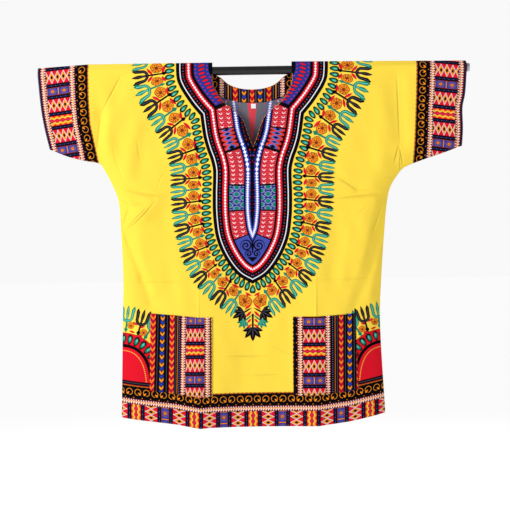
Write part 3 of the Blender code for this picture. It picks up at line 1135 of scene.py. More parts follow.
YELLOW = ink(241, 208, 69)
BLACK = ink(6, 3, 9)
NAVY = ink(26, 36, 84)
BLUE = ink(36, 56, 166)
LILAC = ink(122, 126, 190)
RED = ink(210, 20, 38)
CRIMSON = ink(186, 16, 36)
PINK = ink(222, 92, 100)
MAGENTA = ink(205, 30, 70)
SKY = ink(86, 112, 206)
FLAME = ink(224, 84, 52)
MAROON = ink(112, 14, 32)
BROWN = ink(124, 44, 26)
ORANGE = ink(232, 138, 30)
GOLD = ink(236, 190, 66)
GREEN = ink(8, 124, 98)
MINT = ink(104, 192, 172)
GREY = ink(84, 80, 98)
WHITE = ink(232, 232, 238)
print("yellow in the shader:", [round(level, 3) for level in YELLOW])

# %% [markdown]
# ## Motifs of the border
#
# The border at the cuffs and the hem is a row of rings on black, a braid, a row of panels, and a second
# braid. The pockets are cut from the same border and from the striped band next to it. `across` runs over a
# band and `along` runs with it, both in millimetres.

# %% Rings, braids and stripes
RING_PITCH = 17.6
BRAID_PITCH = 5.15
ARROW_PITCH = 13.0
DART_PITCH = 15.9


@motif
def rings(across, along):
    """Open rings with a curl inside, each the mirror of the last, on black."""
    x = math_node("PINGPONG", along, RING_PITCH) - RING_PITCH / 2
    radius = distance(x, across)
    ring = inside(abs(radius - 6.3) - 0.55)
    mouth = inside(distance(x - 1.4, across - 6.6) - 1.3)
    curl = inside(lens(*turned(x, across, 3.4, 3.2, 42), 7.6, 3.2))
    colour = flat_colour(across, BLACK).inked(ORANGE, ring).inked(BLACK, mouth)
    return {"colour": colour.inked(ORANGE, curl)}


@motif
def braid(across, along):
    """A white cord with pointed edges on maroon, and slanted orange strokes down its middle."""
    edge = abs(across) - 5.2 + 2.0 * mirrored(along - 1.0, BRAID_PITCH)
    stroke = most(mirrored(along + 0.75 * across, BRAID_PITCH) - 1.7, abs(across) - 2.5)
    colour = flat_colour(across, MAROON).inked(WHITE, inside(edge))
    return {"colour": colour.inked(ORANGE, inside(stroke))}


@motif
def cord(across):
    """A grey line on black."""
    return {"colour": flat_colour(across, BLACK).inked(GREY, 0.8 * inside(abs(across) - 0.5, 0.6))}


@motif
def arrows(across, along):
    """Yellow arrowheads, one into the other, on red."""
    head = mirrored(along + 1.3 * abs(across), ARROW_PITCH)
    colour = flat_colour(across, RED).inked(FLAME, inside(head - 2.1)).inked(ORANGE, inside(head - 1.6))
    return {"colour": colour.inked(MAROON, inside(5.4 - head))}


@motif
def darts(across, along):
    """Orange and blue arrowheads in turn on black."""
    head = mirrored(along + 1.2 * abs(across), DART_PITCH)
    arm = inside(abs(across) - 4.2)
    colour = flat_colour(across, BLACK).inked(ORANGE, arm * inside(head - 2.7))
    return {"colour": colour.inked(BLUE, arm * inside(DART_PITCH / 2 - 2.7 - head))}


@motif
def dots(across, along):
    """A row of pale dots on black."""
    dot = inside(distance(across, repeat(along, 4.4)) - 0.75)
    return {"colour": flat_colour(across, BLACK).inked(LILAC, dot)}


print("nodes in the rings:", nodes_in("rings"), "and in the braid:", nodes_in("braid"))

# %% Panels of the border
PANEL_WIDTH = 48.0
DIAMOND_PITCH = PANEL_WIDTH / 4
WAVE_HALF = 10.0  # half heights of the panels
DIAMOND_HALF = 13.2
SQUARE_HALF = 8.0
BAR = 8.0  # height of a bar between two panels
PANEL_PERIOD = 2 * (WAVE_HALF + 2 * BAR + 2 * DIAMOND_HALF + SQUARE_HALF)


@motif
def panel_row(across, along):
    """Waves, diamonds, ringed squares and diamonds in turn, with bars between, across PANEL_WIDTH."""
    place = mirrored(along, PANEL_PERIOD)
    column = mirrored(across, DIAMOND_PITCH)

    up = abs(place - (WAVE_HALF + BAR + DIAMOND_HALF))
    slope = column / (DIAMOND_PITCH / 2) + up / 12.4
    diamonds = flat_colour(across, RED).inked(MAROON, inside(abs(slope - 1.0) - 0.16, 0.06))
    diamonds = diamonds.inked(WHITE, inside(abs(slope - 0.98) - 0.08, 0.06))
    diamonds = diamonds.inked(ORANGE, inside(slope - 0.86, 0.06))
    diamonds = diamonds.inked(BLACK, inside(distance(column * 1.15, up * 0.75) - 2.7, 0.4))

    up = PANEL_PERIOD / 2 - place
    side = repeat(across - PANEL_WIDTH / 4, PANEL_WIDTH / 2)
    radius = distance(side, up * 1.15)
    squares = flat_colour(across, BLUE).inked(NAVY, 0.4).inked(LILAC, 0.4 * inside(abs(radius - 8.2) - 0.5))
    squares = squares.inked(ORANGE, 0.4 * inside(abs(radius - 5.6) - 0.5)).inked(BROWN, inside(radius - 4.1))
    squares = squares.inked(ORANGE, inside(abs(radius - 2.2) - 0.9))
    squares = squares.inked(BROWN, inside(PANEL_WIDTH / 4 - 1.4 - abs(side)))
    squares = squares.inked(ORANGE, inside(PANEL_WIDTH / 4 - 0.8 - abs(side)))
    squares = squares.inked(BROWN, inside(SQUARE_HALF - 1.2 - abs(up)))

    up = place + 1.3 * math_node("SINE", across * (math.tau / DIAMOND_PITCH))
    waves = flat_colour(across, RED).inked(ORANGE, inside(abs(up - 4.9) - 2.0))
    waves = waves.inked(GOLD, inside(abs(up - 4.9) - 1.2))
    waves = waves.inked(ORANGE, inside(abs(up - 7.6) - 0.5)).inked(MAROON, inside(abs(up - 2.6) - 0.4))
    waves = waves.inked(MAGENTA, inside(abs(up) - 1.9))

    colour = squares.inked(diamonds, inside(place - (PANEL_PERIOD / 2 - SQUARE_HALF)))
    colour = colour.inked(waves, inside(place - WAVE_HALF))
    bar = abs(abs(place - (WAVE_HALF + BAR + DIAMOND_HALF)) - (DIAMOND_HALF + BAR / 2))
    dash = most(bar - 1.2, 1.2 - mirrored(across, PANEL_WIDTH / 5))
    grain = distance(bar, mirrored(across, PANEL_WIDTH / 5)) - 0.6
    colour = colour.inked(BLACK, inside(bar - BAR / 2)).inked(NAVY, 0.7 * inside(dash))
    return {"colour": colour.inked(LILAC, inside(grain))}


print("the panels repeat every", round(PANEL_PERIOD, 1), "mm")

# %% The whole border
RING_MIDDLE = 13.4
RINGS_END = 27.4
BRAID_WIDTH = 11.2


@motif
def border(across, along):
    """The border from its inner edge: rings, braid, panels, braid and a dark edge."""
    ragged = across + 0.2 * mirrored(along, RING_PITCH / 2) - 0.4
    colour = rings(across - RING_MIDDLE, along)
    bead = distance(across - RINGS_END + 2.6, repeat(along, RING_PITCH))
    colour = colour.inked(ORANGE, inside(bead - 0.9))
    first = RINGS_END + BRAID_WIDTH / 2
    second = RINGS_END + 1.5 * BRAID_WIDTH + PANEL_WIDTH
    colour = colour.inked(braid(across - first, along), inside(RINGS_END - across))
    panels_from = RINGS_END + BRAID_WIDTH
    colour = colour.inked(panel_row(across - panels_from, along), inside(panels_from - across))
    colour = colour.inked(braid(across - second, along), inside(second - BRAID_WIDTH / 2 - across))
    edge = second + BRAID_WIDTH / 2 + 0.8
    colour = colour.inked(dots(across - edge - 3, along), inside(edge - across))
    colour = colour.inked(BROWN, inside(ragged - 2.2)).inked(ORANGE, 0.6 * inside(abs(ragged - 1.2) - 0.5))
    return {"colour": colour, "cover": inside(-1 * ragged, 0.5)}


print("nodes in the border:", nodes_in("border"))

# %% [markdown]
# ## Motifs of the bib
#
# The bib follows the collar and then the chest down to a point. Two guide lines run along its edge, and the
# bands are drawn by the larger of the distances in from them, so they meet in a clean corner where the two
# lines do.

# %% Bands of the bib
PANEL_FROM, PANEL_TO = 34.6, 64.3
COLLAR_FROM, COLLAR_TO = 37.0, 67.0
INNER_BAND_TO = 77.2


@motif
def bib_bands(depth_in, along):
    """The bands along the bib's edge, apart from its row of panels."""
    colour = flat_colour(depth_in, BLACK).inked(WHITE, between(depth_in, 7.2, 9.1))
    row = distance(depth_in - 14.4, repeat(along, 13.1))
    other_row = distance(depth_in - 14.4, repeat(along - 6.55, 13.1))
    colour = colour.inked(RED, inside(row - 1.15)).inked(LILAC, 0.6 * inside(other_row - 1.15))
    colour = colour.inked(RED, between(depth_in, 20.0, 30.6))
    bead = 0.65 * mirrored(along, 6.4)
    colour = colour.inked(WHITE, inside(abs(depth_in - 25.8) - 2.5 + bead))
    colour = colour.inked(BLUE, between(depth_in, 67.0, INNER_BAND_TO))
    colour = colour.inked(WHITE, inside(abs(depth_in - 71.9) - 3.6 + 1.25 * mirrored(along, 5.2)))
    inner_row = distance(depth_in - 83.0, repeat(along, 14.0))
    inner_other = distance(depth_in - 83.0, repeat(along - 7.0, 14.0))
    return {"colour": colour.inked(RED, inside(inner_row - 1.2)).inked(BLUE, inside(inner_other - 1.2))}


@motif
def chevrons(across, along):
    """Two columns of white chevrons on red with a fine pink hatch."""
    hatch = mirrored(along + 0.8 * mirrored(across, 6.4), 4.2)
    colour = flat_colour(across, CRIMSON).inked(PINK, inside(hatch - 0.6, 0.2))
    column = abs(abs(across) - 7.6)
    mark = abs(repeat(along, 9.0) + 0.8 * column - 1.6)
    return {"colour": colour.inked(WHITE, inside(mark - 0.9) * inside(column - 3.4))}


@motif
def lozenges(across, along):
    """Blue diamond outlines with dark eyes on red, one under the other."""
    slope = abs(across) / 10.4 + mirrored(along, 11.6) / 5.4
    colour = flat_colour(across, CRIMSON)
    for place in (1.3, 1.62):
        colour = colour.inked(FLAME, inside(abs(slope - place) - 0.07, 0.06))
    colour = colour.inked(BLACK, inside(1.95 - slope, 0.06)).inked(NAVY, inside(slope - 1.06, 0.06))
    colour = colour.inked(SKY, inside(abs(slope - 0.84) - 0.18, 0.06))
    return {"colour": colour.inked(BLACK, inside(slope - 0.5, 0.06))}


@motif
def rosettes(across, along):
    """Green dots ringed with white on blue, one row between two half rows."""
    middle = distance(across, repeat(along, 15.5))
    sides = distance(abs(across) - 14.2, repeat(along - 7.75, 15.5))
    near = least(middle, sides)
    beads = distance(abs(across) - 7.2, mirrored(along, 7.75) - 2.0)
    colour = flat_colour(across, BLUE).inked(NAVY, 0.5).inked(WHITE, inside(beads - 0.6))
    colour = colour.inked(WHITE, inside(abs(near - 5.4) - 0.2))
    return {"colour": colour.inked(GREEN, inside(near - 4.2))}


@motif
def collar_leaves(across, down):
    """Red strokes across a blue band, with dots at both sides."""
    stroke = lens(across, repeat(down, 8.4), 15.0, 4.8)
    side = distance(abs(across) - 11.8, repeat(down - 4.2, 8.4))
    colour = flat_colour(across, BLUE).inked(NAVY, 0.35).inked(NAVY, inside(stroke - 1.5))
    return {"colour": colour.inked(RED, inside(stroke)).inked(RED, inside(side - 1.2))}


@motif
def scrolls(out, depth):
    """Two pairs of dark spirals on blue, over a dark point."""
    colour = flat_colour(out, BLUE).inked(NAVY, 0.2).inked(LILAC, 0.2)
    colour = colour.inked(BLACK, inside(lens(depth - 364.0, out, 34.0, 4.4)))
    spirals = ((13.2, 362.5, 12.4, 6.4, 0.2), (8.4, 379.4, 7.6, 5.2, 2.9))
    for centre_out, centre_depth, size, pitch, start in spirals:
        x = out - centre_out
        y = depth - centre_depth
        radius = distance(x, y)
        angle = math_node("ARCTAN2", y, x)
        line = abs(repeat(radius - (angle + start) * (pitch / math.tau), pitch))
        colour = colour.inked(BLACK, inside(line - 1.5) * inside(radius - size))
    point = most(out - 1.1 * (396.0 - depth), 386.0 - depth)
    return {"colour": colour.inked(BLACK, inside(point))}


print("nodes in the bands:", nodes_in("bib_bands"), "and in the scrolls:", nodes_in("scrolls"))

# %% The whole bib
LOZENGES_FROM, LOZENGES_TO = 36.0, 90.6
ROSETTES_FROM, ROSETTES_TO = 146.3, 203.1
SCROLLS_FROM = 275.2
DOTS_FROM = 165.0  # depth where the dots below the slit start
# A plain red point under the neck, where the slit is cut.
WEDGE_TOP, WEDGE_FOOT, WEDGE_HALF = 60.0, 158.0, 10.8


@motif
def bib(collar_s, collar_in, bib_s, bib_in, sideways, depth):
    """The whole bib from its two guide lines, with its cover."""
    out = abs(sideways)
    on_collar = inside(most(bib_in - collar_in, least(depth - 60, 56 - out)))
    depth_in = most(bib_in, collar_in)
    along = bib_s + on_collar * (collar_s - bib_s)
    colour = bib_bands(depth_in, along)

    across = depth_in - (PANEL_FROM + PANEL_TO) / 2
    panels = chevrons(across, depth)
    panels = panels.inked(lozenges(across, bib_s - 52), between(bib_s, LOZENGES_FROM, LOZENGES_TO))
    rows = rosettes(across, bib_s - ROSETTES_FROM - 5)
    panels = panels.inked(rows, between(bib_s, ROSETTES_FROM, ROSETTES_TO))
    panels = panels.inked(scrolls(out, depth), inside(SCROLLS_FROM - bib_s))
    for end in (LOZENGES_FROM, LOZENGES_TO, ROSETTES_FROM, ROSETTES_TO, SCROLLS_FROM):
        panels = panels.inked(BLACK, inside(abs(bib_s - end) - 1.8))
    leaves = collar_leaves(depth_in - (COLLAR_FROM + COLLAR_TO) / 2, depth - 0.3 * out)
    panels = panels.inked(leaves, on_collar * inside(COLLAR_FROM - depth_in))
    panels = panels.inked(BLACK, on_collar * inside(depth_in - COLLAR_FROM))
    panels = panels.inked(BLACK, inside(abs(bib_in - collar_in) - 2.4))
    colour = colour.inked(panels, inside(PANEL_FROM - depth_in) * inside(depth_in - PANEL_TO))
    colour = colour.inked(leaves, on_collar * between(depth_in, PANEL_TO, COLLAR_TO))
    colour = colour.inked(BLACK, on_collar * inside(COLLAR_TO - depth_in))

    core = inside(INNER_BAND_TO - depth_in)
    column = abs(out - 4.2)
    dot = distance(column, repeat(depth, 14.2))
    other_dot = distance(column, repeat(depth - 7.1, 14.2))
    below_slit = core * inside(DOTS_FROM - depth)
    colour = colour.inked(BLUE, below_slit * inside(dot - 1.1))
    colour = colour.inked(RED, below_slit * inside(other_dot - 1.1))
    wedge = inside(out - WEDGE_HALF * (WEDGE_FOOT - depth) / (WEDGE_FOOT - WEDGE_TOP))
    return {"colour": colour.inked(RED, core * wedge), "cover": inside(-1 * depth_in)}


print("nodes in the bib:", nodes_in("bib"))

# %% [markdown]
# ## Motifs of the garland
#
# Round the bib runs a ring of petals, and round that a row of sprigs that point outward, black and green in
# turn, with flowers and red leaves between them. One cell of the row is mirrored about its black sprig.

# %% Petals, sprigs and flowers


@motif
def petal(across, along):
    """One green petal with a dark outline and a pale streak. Its blunt end is the outer one."""
    size = distance(across / (5.4 - 0.09 * along), along / 10.3)
    streak = inside(distance((across - 0.3) / 1.5, (along + 1.8) / 4.0) - 1, 0.35)
    colour = flat_colour(across, BLACK).inked(GREEN, inside(size - 0.63, 0.08)).inked(MINT, 0.9 * streak)
    return {"colour": colour, "cover": inside(size - 1, 0.08)}


@motif
def sprig(across, height, root, vein):
    """A stem with a fork of three prongs, each with a vein. The fork's base is at height 0."""
    above = most(height, 0)
    spread = across / (1 + 0.00035 * above * above)
    bend = abs(distance(spread, least(height - 9.0, 0)) - 9.0)
    arm = most(bend - 2.9, 2.4 * bend + height - 32.0)
    prong = least(lens(height - 18.0, across, 30.0, 6.4), most(abs(across) - 2.2, abs(height - 10.0) - 10.0))
    stem = most(abs(across) - 1.8, height - 1, root - height)
    bulb = abs(across) + 0.6 * abs(height - root - 1.5) - 4.0
    veins = least(most(bend - vein, height - 26.0), most(abs(across) - vein, abs(height - 15.0) - 12.0))
    return {"body": inside(least(arm, prong, stem, bulb)), "core": inside(veins, 0.4)}


@motif
def flower(across, height):
    """An orange flower with dark rays. It draws to a point below."""
    radius = distance(across, height)
    angle = math_node("ARCTAN2", across, height)
    edge = radius - 9.8 - 1.1 * math_node("COSINE", angle) - 0.4 * math_node("COSINE", angle * 5)
    rays = inside(0.4 - math_node("COSINE", angle * 8 + radius * 0.3), 0.3) * inside(abs(radius - 4.4) - 2.8)
    arc = inside(abs(edge + 3.6) - 0.3, 0.5) * inside(-0.1 - math_node("COSINE", angle * 5), 0.3)
    colour = flat_colour(across, BROWN).inked(ORANGE, inside(edge + 1.3, 0.4))
    colour = colour.inked(BROWN, inside(radius - 3.0, 0.8))
    return {"colour": colour.inked(BROWN, 0.9 * most(rays, arc)), "cover": inside(edge, 0.4)}


@motif
def leaf_fan(across, height):
    """A fan of five leaves that spring from the origin, the middle one longest."""
    angle = math_node("ARCTAN2", across, height)
    one = repeat(angle, math.radians(34))
    radius = distance(across, height) * (1 + 0.3 * angle * angle)
    along = radius * math_node("COSINE", one)
    side = radius * math_node("SINE", one)
    ahead = inside(abs(angle) - math.radians(85), 0.05)
    leaf = least(lens(along - 14.0, side, 29.0, 10.6), radius - 7.0)
    return {"body": inside(leaf) * ahead, "core": inside(lens(along - 12.0, side, 20.0, 1.6), 0.4) * ahead}


print("nodes in a sprig:", nodes_in("sprig"), "and in a flower:", nodes_in("flower"))

# %% The garland round the bib
SPRIG_STRETCH = 27.0  # a sprig's share of the row, in its own millimetres
DROOP = 0.08  # how far a sprig leans for each millimetre of its height
STEM_GROWTH = 0.16  # the stems are longer by this share at the shoulders, and shorter by it at the tip


@motif
def garland(petal_s, petal_in, sprig_s, sprig_in):
    """The ring of petals and the row of sprigs."""
    row, cover = petal(repeat(petal_s - 0.5, 1.0) * 12.3 + 0.1 * petal_in, petal_in)
    age = sprig_s / SPRIG_COUNT
    on_stem = inside(-1 * sprig_in, 4.0)
    height = -1 * sprig_in * (1 + STEM_GROWTH * (2 * age - 1) * on_stem)
    lean = DROOP * height
    dark = SPRIG_STRETCH * repeat(sprig_s - 1, 2.0) - lean
    light = SPRIG_STRETCH * repeat(sprig_s, 2.0) - lean
    side = abs(SPRIG_STRETCH * repeat(sprig_s - 1, 2.0))
    along_row = inside(sprig_s - SPRIG_COUNT - 0.55, 0.02)

    petals = flower(0.92 * (height + 16.5), 0.94 * (side - 13.6))
    leaves = least(
        lens(*turned(side, height, 7.4, -4.6, 40), 17.0, 5.2),
        lens(*turned(side, height, 11.2, -29.0, -20), 18.0, 5.8),
    )
    colour = petals[0].inked(RED, inside(leaves))
    flower_cover = most(petals[1], inside(leaves))
    body, core = sprig(dark, height, -31.0, 0.5)
    colour = colour.inked(BLACK, body).inked(GREY, 0.8 * core * body)
    other_body, other_core = sprig(light, height, -26.0, 0.8)
    colour = colour.inked(GREEN, other_body).inked(MINT, 0.9 * other_core * other_body)
    sprigs_cover = most(flower_cover, body, other_body) * along_row
    sprigs_cover = sprigs_cover * inside(height - 36) * inside(-38.0 - height)
    return {"colour": colour.inked(row, cover), "cover": most(sprigs_cover, cover)}


@motif
def hanging_leaves(out, depth):
    """What hangs under the bib's point: two flowers, red leaves and five fans of leaves on stems."""
    colour, cover = flower(0.85 * (depth - 477.8), 0.72 * (16.4 - out))
    reds = least(
        lens(*turned(out, depth, 9.0, 462.8, -30), 15.0, 4.6),
        lens(*turned(out, depth, 9.8, 489.0, 38), 19.0, 4.6),
        lens(*turned(out, depth, 8.6, 503.6, 45), 17.0, 5.4),
        lens(*turned(out, depth, 7.4, 517.7, 46), 12.0, 4.4),
        lens(*turned(out, depth, 7.4, 528.5, 32), 14.0, 4.4),
    )
    red = inside(reds)
    colour = colour.inked(RED, red)
    side_stem = lens(*turned(out, depth, 13.0, 497.0, 30), 26.0, 3.6)
    fan, vein = leaf_fan(*(1.04 * value for value in turned(out, depth, 18.0, 498.0, -60)))
    middle_stem = most(abs(out) - 2.0, depth - 535.0, 503.0 - depth)
    middle_fan, middle_vein = leaf_fan(0.88 * out, 0.96 * (depth - 530.5))
    dark = most(inside(side_stem), fan, inside(middle_stem), middle_fan)
    green_stem = lens(*turned(out, depth, 9.6, 512.0, 39), 24.0, 3.4)
    green_fan, green_vein = leaf_fan(*(1.42 * value for value in turned(out, depth, 15.5, 516.5, -43)))
    green = most(inside(green_stem), green_fan)
    colour = colour.inked(GREEN, green).inked(MINT, green_vein).inked(BLACK, dark)
    colour = colour.inked(GREY, 0.8 * most(vein, middle_vein))
    return {"colour": colour, "cover": most(cover, red, green, dark)}


print("nodes in the garland:", nodes_in("garland"), "and in the leaves under it:", nodes_in("hanging_leaves"))

# %% The arch of the lower corners
ARCH_LINE_WIDTH = 6.5
ARCH_RING_TO = 30.0


@motif
def corner(along, out_of_arch, out, depth):
    """A red arch with a ring of petals, and sprigs that stand on it."""
    colour = flat_colour(along, RED)
    stitch = inside(abs(out_of_arch + 7.0) - 0.8) * inside(mirrored(along, 4.4) - 1.3)
    colour = colour.inked(GOLD, stitch).inked(BLACK, between(out_of_arch, 0.0, ARCH_LINE_WIDTH))
    row, cover = petal(1.3 * repeat(along - 4.0, 10.8), 17.0 - out_of_arch)
    arch = inside(out_of_arch - ARCH_RING_TO)
    colour = colour.inked(row, cover).inked(MAROON, inside(ARCH_RING_TO - 1.2 - out_of_arch))

    light, light_core = sprig(*turned(0.92 * (out - 260.3), 514.4 - depth, 0, 0, 7), -19.0, 0.8)
    dark, dark_core = sprig(*turned(0.92 * (out - 231.5), 522.2 - depth, 0, 0, 15), -19.0, 0.5)
    last, last_core = sprig(*turned(0.92 * (out - 211.0), 532.0 - depth, 0, 0, 31), -20.0, 0.8)
    first_flower, first_cover = flower(1.3 * (out - 252.1), 1.4 * (524.6 - depth))
    next_flower, next_cover = flower(1.3 * (out - 225.6), 1.4 * (538.8 - depth))
    reds = least(
        lens(*turned(out, depth, 243.0, 519.8, -35), 13.0, 4.6),
        lens(*turned(out, depth, 228.8, 527.3, 12), 14.0, 4.2),
        lens(*turned(out, depth, 249.4, 536.8, -21), 13.0, 4.6),
        lens(*turned(out, depth, 233.0, 544.6, -31), 14.0, 4.6),
    )
    above = first_flower.inked(next_flower, next_cover).inked(RED, inside(reds))
    above = above.inked(BLACK, dark).inked(GREY, 0.8 * dark_core * dark)
    green = most(light, last)
    above = above.inked(GREEN, green).inked(MINT, 0.9 * most(light_core * light, last_core * last))
    above_cover = most(first_cover, next_cover, inside(reds), dark, green)
    return {"colour": above.inked(colour, arch), "cover": most(arch, above_cover)}


print("motifs:", ", ".join(sorted(tree.name for tree in bpy.data.node_groups)))

# %% [markdown]
# ## Cotton
#
# The cloth under the print is a plain weave with uneven threads and almost no gloss. Threads are far too many
# to model, so the weave is a bump made of two crossed waves and noise, and the sharp creases are a second
# bump. The wrong side of a panel shows the same print, paler, because wax print soaks through the cotton.

# %% Sharp creases
PRESSED = (  # sharp creases in millimetres: sideways and depth at both ends, bow, width and height
    (-267.0, 2.0, -311.0, 86.0, 0.0, 3.2, -0.8),  # across the left sleeve
    (-311.0, 84.0, -320.0, 168.0, 0.0, 4.6, -0.7),
    (-287.0, 147.0, -255.0, 242.0, 5.0, 4.0, -0.4),
    (-238.0, 134.0, -230.0, 190.0, 0.0, 4.0, -0.35),
    (-277.0, 236.0, -167.0, 258.0, 7.0, 3.0, -0.9),  # fanned out at the left waist
    (-175.0, 207.0, -195.0, 247.0, 5.0, 3.2, -0.4),
    (-268.0, 264.0, -253.0, 276.0, 0.0, 2.6, -0.7),
    (-255.0, 275.0, -219.0, 274.0, 0.0, 2.6, -0.6),
    (-198.0, 265.0, -264.0, 329.0, -5.0, 3.0, -1.0),
    (-217.0, 278.0, -260.0, 320.0, 0.0, 2.4, 0.8),
    (-254.0, 277.0, -267.0, 321.0, 0.0, 3.4, -0.9),
    (-271.0, 285.0, -266.0, 330.0, 1.5, 3.0, -0.7),
    (-266.0, 328.0, -255.0, 365.0, 0.0, 4.0, -0.6),
    (299.0, 4.0, 305.0, 163.0, 0.0, 3.0, -0.8),  # down the right sleeve
    (303.0, 160.0, 292.0, 200.0, 0.0, 3.0, -1.0),
    (303.0, 160.0, 312.0, 201.0, 0.0, 3.0, -0.9),
    (302.0, 180.0, 302.0, 216.0, 0.0, 2.6, 0.7),
    (272.0, 225.0, 299.0, 228.0, 0.0, 2.4, -0.4),
    (170.0, 220.0, 221.0, 254.0, 0.0, 2.8, -0.8),  # and at the right waist
    (217.0, 252.0, 252.0, 252.0, 0.0, 2.6, -0.5),
    (164.0, 271.5, 284.0, 260.5, -1.0, 3.4, -1.0),
    (236.0, 285.0, 214.0, 305.0, 0.0, 3.4, -0.4),
    (270.0, 281.0, 246.0, 344.0, 0.0, 4.0, -0.5),
    (-262.0, 436.0, -122.0, 437.5, 0.0, 3.0, -0.5),  # packet folds
    (128.0, 435.0, 272.0, 435.0, 0.0, 3.0, -0.5),
    (-72.0, 591.5, 46.0, 592.0, 0.0, 2.8, -0.7),
    (-30.0, 630.5, 78.0, 631.0, 0.0, 3.0, -0.6),
    (-262.0, 586.0, -88.0, 589.0, 0.0, 2.8, -0.5),
    (78.0, 586.0, 262.0, 588.0, 0.0, 2.8, -0.5),
    (40.0, 566.0, 92.0, 592.0, 3.0, 2.6, -0.5),
    (-112.0, 430.0, -109.0, 745.0, 0.0, 3.2, 0.8),  # crests of the pressed ridges
    (130.0, 415.0, 131.0, 745.0, 0.0, 3.2, 0.8),
)


@motif
def pressed_lines(sideways, depth):
    """Height of the sharp creases, each drawn out to a point at both ends."""
    height = 0
    for x0, z0, x1, z1, bow, width, rise in PRESSED:
        angle = math.degrees(math.atan2(z1 - z0, x1 - x0))
        along, across = turned(sideways, depth, (x0 + x1) / 2, (z0 + z1) / 2, angle)
        share = along * (2 / math.dist((x0, z0), (x1, z1)))
        fade = 1 - share * share
        height = height + rise * most(1 - abs(across - bow * fade) / width, 0) * most(fade, 0)
    return {"height": height}


print("sharp creases:", len(PRESSED))

# %% Cotton
THREAD = 0.42  # width of a thread in millimetres
PALE_COTTON = ink(206, 206, 226)


@motif
def weave(across, along):
    """Height of a plain weave, and the tone of its uneven threads."""
    noises = []
    for x, y in ((across / 0.6, along / 14.0), (across / 14.0, along / 0.6), (across / 60.0, along / 60.0)):
        tree = across.tree
        place = tree.nodes.new("ShaderNodeCombineXYZ")
        plug(tree, x, place.inputs["X"])
        plug(tree, y, place.inputs["Y"])
        noise = tree.nodes.new("ShaderNodeTexNoise")
        noise.inputs["Scale"].default_value = 1.0
        noise.inputs["Detail"].default_value = 1.0
        tree.links.new(place.outputs[0], noise.inputs["Vector"])
        noises.append(Value(tree, noise.outputs[0]))
    warp = abs(math_node("SINE", across * (math.pi / THREAD)))
    weft = abs(math_node("SINE", along * (math.pi / THREAD)))
    tone = 1 + 0.05 * (noises[0] + noises[1] - 1) + 0.03 * (noises[2] - 0.5)
    return {"height": warp * weft * 0.3 + noises[0] + noises[1], "tone": tone}


def map_pair(tree, name):
    """The two coordinates of a UV map."""
    uv = tree.nodes.new("ShaderNodeUVMap")
    uv.uv_map = name
    parts = tree.nodes.new("ShaderNodeSeparateXYZ")
    tree.links.new(uv.outputs[0], parts.inputs[0])
    return Value(tree, parts.outputs["X"]), Value(tree, parts.outputs["Y"])


def cotton(name, draw, faded=0.0):
    """Cotton with a print. `draw` takes the tree and gives the colour of the print, and `faded` dulls it."""
    material = bpy.data.materials.new(name)
    material.use_nodes = True
    tree = material.node_tree
    shader = tree.nodes["Principled BSDF"]
    colour = draw(tree)
    if faded:
        parts = tree.nodes.new("ShaderNodeSeparateColor")
        parts.mode = "HSV"
        plug(tree, colour, parts.inputs[0])
        colour = colour.inked(PALE_COTTON, faded * (1 - Value(tree, parts.outputs[2])))
    place = map_pair(tree, "flat")
    height, tone = weave(*place)
    shaded = tree.nodes.new("ShaderNodeMix")
    shaded.data_type = "RGBA"
    shaded.blend_type = "MULTIPLY"
    shaded.inputs[0].default_value = 1
    plug(tree, colour, shaded.inputs[6])
    tree.links.new(tone.socket, shaded.inputs[7])
    tree.links.new(shaded.outputs[2], shader.inputs["Base Color"])
    normal = shader.inputs["Normal"]
    for bumps, strength, size in ((height, 0.35, 0.0001), (pressed_lines(*place), 1.0, 0.0019)):
        bump = tree.nodes.new("ShaderNodeBump")
        bump.inputs["Strength"].default_value = strength
        bump.inputs["Distance"].default_value = size
        tree.links.new(bumps.socket, bump.inputs["Height"])
        tree.links.new(bump.outputs[0], normal)
        normal = bump.inputs["Normal"]
    shader.inputs["Roughness"].default_value = 0.82
    shader.inputs["Specular IOR Level"].default_value = 0.04
    return material


print("nodes in the weave:", nodes_in("weave"))

# %% Prints of the front and the back
CUFF_PANELS_AT = 90.0  # depth of the waves' middle on the cuffs


def plain_print(tree):
    """Yellow all over."""
    return flat_colour(map_pair(tree, "flat")[0], YELLOW)


def neck_print(tree):
    """The bib, its garland and the leaves that hang under it."""
    sideways, depth = map_pair(tree, "flat")
    collar_place = map_pair(tree, "guide_a")
    bib_place = map_pair(tree, "guide_b")
    petal_place = map_pair(tree, "guide_c")
    sprig_place = map_pair(tree, "guide_d")
    colour = flat_colour(depth, YELLOW)
    colour = colour.inked(*hanging_leaves(abs(sideways), depth))
    colour = colour.inked(*garland(*petal_place, *sprig_place))
    return colour.inked(*bib(*collar_place, *bib_place, sideways, depth))


def cuff_print(tree):
    """The border of the cuffs."""
    across, along = map_pair(tree, "guide_a")
    return flat_colour(across, YELLOW).inked(*border(across, along - CUFF_PANELS_AT))


def hem_print(tree):
    """The border of the hem, and the arch of the corners above it."""
    sideways, depth = map_pair(tree, "flat")
    across, along = map_pair(tree, "guide_a")
    arch_along, out_of_arch = map_pair(tree, "guide_b")
    colour = flat_colour(depth, YELLOW).inked(*corner(arch_along, out_of_arch, abs(sideways), depth))
    base = between(across, -8.6, -0.6) * inside(out_of_arch - ARCH_RING_TO)
    colour = colour.inked(cord(across + 4.6), base)
    return colour.inked(*border(across, along))


drawings = (plain_print, neck_print, cuff_print, hem_print)
printed = [cotton(draw.__name__, draw) for draw in drawings]
print("cottons for the right side:", len(printed))

